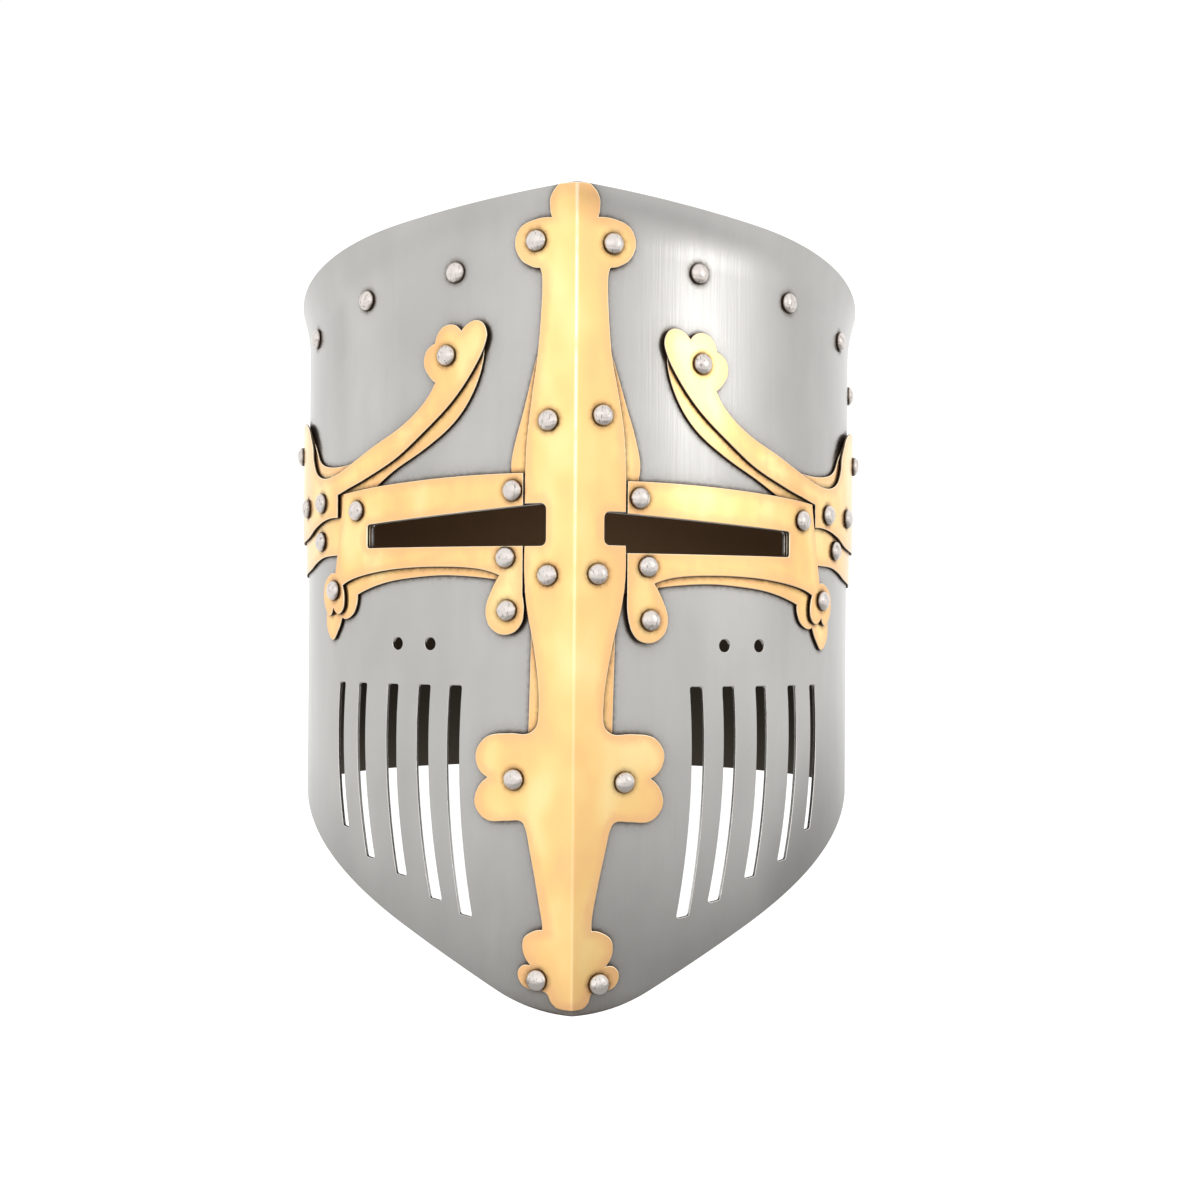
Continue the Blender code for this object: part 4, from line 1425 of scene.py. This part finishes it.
@dataclass
class Rivets:
    """Dome-headed rivets, struck by hand and so each a little different."""

    finish: Material
    radius: float = 4.1
    rise: float = 2.7
    sides: int = 28
    rings: int = 8
    foot: float = 0.35
    foot_share: float = 0.985
    dome: float = 0.85
    lift: float = 0.03
    tilt: float = 0.05
    squash: float = 0.97
    lump: float = 0.035
    lump_pitch: float = 0.45
    sharp: float = math.radians(55)
    ring_drop: float = 24.5
    seed: int = 12
    brass: tuple = (
        ("brow", (15.6, 293.8), (13.8, 292.7), Layer.TOP),
        ("forehead", (10.2, 225.4), (9.9, 227.4), Layer.TOP),
        ("nose", (10.1, 166.8), (8.3, 167.3), Layer.TOP),
        ("cross", (23.5, 88.9), (19.8, 88.2), Layer.TOP),
        ("chin", (13.4, 13.2), (9.9, 12.1), Layer.TOP),
        ("frame_top", (24.9, 199.2), (25.5, 196.6), Layer.TOP),
        ("frame_outer", (100.4, 193.9), (104.4, 191.2), Layer.TOP),
        ("frame_inner", (27.6, 173.7), (29.1, 170.6), Layer.TOP),
        ("frame_tab", (26.9, 153.4), (30.2, 150.0), Layer.TOP),
        ("frame_corner", (116.6, 161.9), (119.8, 159.0), Layer.TOP),
        ("branch_tip", (54.4, 252.7), (52.2, 249.8), Layer.TOP),
        ("branch_front", (128.6, 198.4), (124.4, 194.6), Layer.TOP),
        ("branch_side", (149.2, 197.5), (148.3, 194.6), Layer.TOP),
        ("branch_finial", (170.6, 221.9), (169.7, 219.0), Layer.TOP),
        ("arm", (131.8, 182.6), (134.8, 180.3), Layer.UNDER),
    )
    seam: tuple = (("seam_upper", 200.0, 150.0), ("seam_lower", 200.0, 100.0))
    ring: tuple[float, ...] = (52.0, 97.7, 143.4, 248.0, 307.0, 366.0)
    temples: tuple = (("left", -200.0, 255.7), ("right", 177.0, 251.0))

    def head(self, bm: bmesh.types.BMesh, spot: Spot, index: int, chance: random.Random) -> None:
        """Turn one rivet and set it on its sheet.

        Args:
            bm: the mesh that takes the rivet.
            spot: where it sits.
            index: its number, which sets its own marks.
            chance: the source of its small differences.
        """
        blank = bm.verts.layers.float_vector["blank"]
        cut = bm.verts.layers.float["cut"]
        placed = bm.verts.layers.int["placed"]
        foot = self.foot
        profile = [(0.0, 0.0), (self.radius * self.foot_share, 0.0), (self.radius, foot)]
        for k in range(1, self.rings + 1):
            turn = 0.5 * math.pi * k / self.rings
            profile.append((self.radius * math.cos(turn) ** self.dome,
                            foot + (self.rise - foot) * math.sin(turn)))
        verts = [bm.verts.new((x, 0.0, z)) for x, z in profile]
        edges = [bm.edges.new(pair) for pair in zip(verts, verts[1:])]
        bmesh.ops.spin(
            bm, geom=verts + edges, cent=(0, 0, 0), axis=(0, 0, 1), dvec=(0, 0, 0),
            angle=math.tau, steps=self.sides, use_merge=True,
        )
        fresh = [vert for vert in bm.verts if not vert[placed]]
        bmesh.ops.remove_doubles(bm, verts=fresh, dist=1e-4)
        tilt = Matrix.Rotation(chance.uniform(-self.tilt, self.tilt), 4, "X")
        tilt @= Matrix.Rotation(chance.uniform(-self.tilt, self.tilt), 4, "Y")
        squash = chance.uniform(self.squash, 1.0)
        slopes = WALL.slopes(spot.along, spot.offset, spot.height)
        side, _, up = (column.normalized() for column in slopes.transposed())
        out = up.cross(side) * -1.0
        seat = WALL.point(spot.along, spot.offset, spot.height) + out * self.lift
        turn = Matrix((side, out.cross(side), out)).transposed().to_4x4()
        place = WALL.pose @ Matrix.Translation(seat) @ turn
        for vert in [vert for vert in bm.verts if not vert[placed]]:
            vert[placed] = 1
            local = vert.co.copy()
            lump = noise.noise(local * self.lump_pitch + Vector((index * 7.3, 0.0, 0.0)))
            raised = min(1.0, local.z)
            vert[blank] = (local + Vector((index * 11.0, index * 5.0, 0.0))) * MM
            vert[cut] = 1.0 if local.z < 0.5 * foot else 0.0
            scale = 1.0 + self.lump * lump * raised
            moved = Vector((local.x * scale, local.y * scale, local.z * squash))
            if local.z > 0.5 * foot:
                moved = tilt @ moved
            vert.co = place @ moved

    def batch(self, name: str, spots: list[Spot], chance: random.Random) -> None:
        """Make one piece of several rivets.

        Args:
            name: the piece's name.
            spots: where its rivets sit.
            chance: the source of their small differences.
        """
        bm = bmesh.new()
        bm.verts.layers.float_vector.new("blank")
        bm.verts.layers.float.new("cut")
        bm.verts.layers.int.new("placed")
        for index, spot in enumerate(spots):
            self.head(bm, spot, index, chance)
        bmesh.ops.recalc_face_normals(bm, faces=bm.faces[:])
        mesh = finished(name, bm)
        mesh.set_sharp_from_angle(angle=self.sharp)
        nodes = [spot.name for spot in spots]
        fit(link(name, mesh), self.finish, "rivet_steel", *nodes)

    def build(self) -> None:
        """Make the rivets of the trim, of the seams and of the ring that holds the crown."""
        chance = random.Random(self.seed)
        for side in Side:
            sign, word = side.value.sign, side.word
            spots = []
            for name, left, right, layer in self.brass:
                along, height = left if side is Side.LEFT else right
                spots.append(Spot(f"rivet_{name}_{word}", sign * along, height, layer.value[1]))
            self.batch(f"trim_rivets_{word}", spots, chance)
            face = Layer.FACE.value[1]
            spots = [
                Spot(f"rivet_{name}_{word}", sign * along, height, face)
                for name, along, height in self.seam
            ]
            self.batch(f"seam_rivets_{word}", spots, chance)
            spots = []
            for number, along in enumerate(self.ring, start=1):
                layer = Layer.FACE if along < FACE_END else Layer.BACK
                height = WALL.top_height(along) - self.ring_drop
                name = f"rivet_ring_{word}_{number}"
                spots.append(Spot(name, sign * along, height, layer.value[1]))
            spots += [
                Spot(f"rivet_temple_{word}", along, height, face)
                for name, along, height in self.temples if name == word
            ]
            self.batch(f"ring_rivets_{word}", spots, chance)


# ----------------------------------------------------------------------------- the studio


SkyRow = tuple[tuple[float, float], ...]


@dataclass
class Studio:
    """A plain pale floor, soft light all round and the camera."""

    eye: tuple[float, float, float] = (0.0, -661.0, 143.7)
    yaw: float = math.radians(-0.5)
    yaw_centre: float = 108.6
    roll: float = math.radians(0.4)
    lens: float = 52.5
    sensor: float = 36.0
    clip: tuple[float, float] = (0.05, 60.0)
    shift: tuple[float, float] = (0.0193, 0.0303)
    # Light by direction, as (degrees to the right of straight ahead of the helm, strength).
    ground: SkyRow = (
        (-180, 1.10), (-108, 1.20), (-90, 1.10), (-72, 1.05), (-60, 1.05), (-48, 1.05),
        (-36, 1.0), (10, 0.95), (34, 0.56), (48, 0.48), (60, 0.60), (72, 0.88),
        (84, 1.08), (96, 1.10), (180, 1.10),
    )
    level: SkyRow = (
        (-180, 1.25), (-134, 1.30), (-124, 0.85), (-117, 0.85), (-110, 1.55), (-96, 1.42),
        (-84, 1.25), (-72, 1.16), (-60, 1.24), (-48, 1.25), (-36, 1.18), (20, 1.08),
        (36, 1.02), (48, 1.10), (60, 1.28), (72, 1.48), (84, 1.35), (96, 1.12), (108, 1.05),
        (120, 1.30), (180, 1.25),
    )
    raised: SkyRow = (
        (-180, 1.30), (-134, 1.32), (-124, 0.95), (-117, 0.95), (-110, 1.42), (-96, 1.30),
        (-84, 1.36), (-72, 1.14), (-60, 1.32), (-48, 1.38), (-30, 1.55), (30, 1.55),
        (48, 1.20), (60, 1.45), (72, 1.62), (84, 1.32), (96, 0.95), (106, 1.00), (120, 1.35),
        (180, 1.30),
    )
    ramp_top: float = 3.0
    floor_reach: float = 12.0
    floor_dark: tuple[float, float, float] = (0.20, -0.36, 0.0)
    lamp_aim: tuple[float, float, float] = (0.0, 0.0, 0.16)
    key_place: tuple[float, float, float] = (1.10, -0.60, 0.60)
    key_size: float = 0.26
    key_power: float = 0.35

    def floor(self) -> None:
        """Lay the floor: white to the eye, its reflection darker just before the chin."""
        bm = bmesh.new()
        bmesh.ops.create_grid(bm, x_segments=4, y_segments=4, size=self.floor_reach)
        mesh = bpy.data.meshes.new("studio_floor")
        bm.to_mesh(mesh)
        bm.free()
        floor = link("studio_floor", mesh)
        material, graph, shader = new_material("pale_floor")
        place = graph.add("ShaderNodeTexCoord").outputs["Object"]
        speck = graph.noise(place, (60.0, 60.0, 60.0), 3.0)
        tone = graph.mix(speck, (0.16, 0.16, 0.16, 1.0), (0.20, 0.20, 0.20, 1.0))
        entries = {0: place, 1: self.floor_dark}
        away = graph.add("ShaderNodeVectorMath", entries, operation="DISTANCE")
        glow = graph.step(away.outputs["Value"], 0.22, 0.70, 0.34, 0.96)
        seen = graph.add("ShaderNodeLightPath").outputs["Is Camera Ray"]
        graph.feed(shader, {
            "Base Color": tone,
            "Roughness": 0.9,
            "Specular IOR Level": 0.0,
            "Emission Color": WHITE,
            "Emission Strength": graph.blend(seen, glow, 1.05),
        })
        mesh.materials.append(material)

    def ring(self, graph: Graph, turn: NodeSocket, rows: SkyRow) -> NodeSocket:
        """Return the light of one ring of the sky.

        Args:
            graph: the sky's graph.
            turn: the direction's turn from straight behind, from 0 to 1 once round.
            rows: the ring's table.

        Returns:
            The ring's strength.
        """
        node = graph.add("ShaderNodeValToRGB", {"Fac": turn})
        node.color_ramp.interpolation = "EASE"
        stops = node.color_ramp.elements
        while len(stops) < len(rows):
            stops.new(0.5)
        for stop, (degrees, strength) in zip(stops, rows):
            stop.position = (degrees + 180.0) / 360.0
            stop.color = (*[strength / self.ramp_top] * 3, 1.0)
        return graph.math("MULTIPLY", node.outputs["Color"], self.ramp_top)

    def sky(self) -> None:
        """Light the helm from all round by the rings of the sky; it is white to the eye."""
        world = bpy.data.worlds.new("studio_sky")
        bpy.context.scene.world = world
        world.use_nodes = True
        graph = Graph(world.node_tree)
        x, y, z = graph.split(graph.add("ShaderNodeTexCoord").outputs["Generated"])
        turn = graph.math("ARCTAN2", x, graph.math("MULTIPLY", y, -1.0))
        turn = graph.math("ADD", graph.math("DIVIDE", turn, math.tau), 0.5)
        light = self.ring(graph, turn, self.ground)
        for start, end, rows in ((-0.02, 0.13, self.level), (0.15, 0.34, self.raised)):
            light = graph.blend(graph.step(z, start, end), light, self.ring(graph, turn, rows))
        light = graph.blend(graph.step(z, 0.45, 0.85), light, 1.25)
        seen = graph.add("ShaderNodeLightPath").outputs["Is Camera Ray"]
        light = graph.blend(seen, light, 1.02)
        back = world.node_tree.nodes["Background"]
        graph.feed(back, {"Color": WHITE, "Strength": light})

    def key_lamp(self) -> None:
        """Hang the one soft lamp, turned to the helm."""
        data = bpy.data.lights.new("key_lamp", "AREA")
        data.shape = "DISK"
        data.size = self.key_size
        data.energy = self.key_power
        lamp = bpy.data.objects.new("key_lamp", data)
        place = Vector(self.key_place)
        aim = Vector(self.lamp_aim) - place
        turn = aim.to_track_quat("-Z", "Y").to_matrix().to_4x4()
        lamp.matrix_world = Matrix.Translation(place) @ turn
        bpy.context.scene.collection.objects.link(lamp)

    def camera(self) -> None:
        """Set up the camera in front of the leaning helm, square to its ridge."""
        data = bpy.data.cameras.new("camera")
        data.lens = self.lens
        data.sensor_width = self.sensor
        data.shift_x, data.shift_y = self.shift
        data.clip_start, data.clip_end = self.clip
        camera = bpy.data.objects.new("camera", data)
        bpy.context.scene.collection.objects.link(camera)
        centre = Vector((0.0, self.yaw_centre, 0.0))
        swing = Matrix.Translation(centre) @ Matrix.Rotation(-self.yaw, 4, "Z")
        swing @= Matrix.Translation(-centre)
        level = Matrix.Rotation(0.5 * math.pi, 4, "X") @ Matrix.Rotation(self.roll, 4, "Z")
        seat = WALL.pose @ swing @ Matrix.Translation(self.eye) @ level
        place, turn, _ = seat.decompose()
        camera.matrix_world = Matrix.Translation(place) @ turn.to_matrix().to_4x4()
        bpy.context.scene.camera = camera

    def build(self) -> None:
        """Set the whole studio."""
        self.floor()
        self.sky()
        self.key_lamp()
        self.camera()
        bpy.context.scene.view_settings.view_transform = "Standard"


def main() -> None:
    """Build the helm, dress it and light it."""
    logging.basicConfig(level=logging.INFO, format="%(name)s %(message)s")
    finishes = Finishes.make()
    SteelPlates(finishes.steel).build()
    CrownPlate(finishes.steel).build()
    BrassTrim(finishes.brass).build()
    Rivets(finishes.rivet).build()
    Studio().build()


if __name__ == "__main__":
    main()
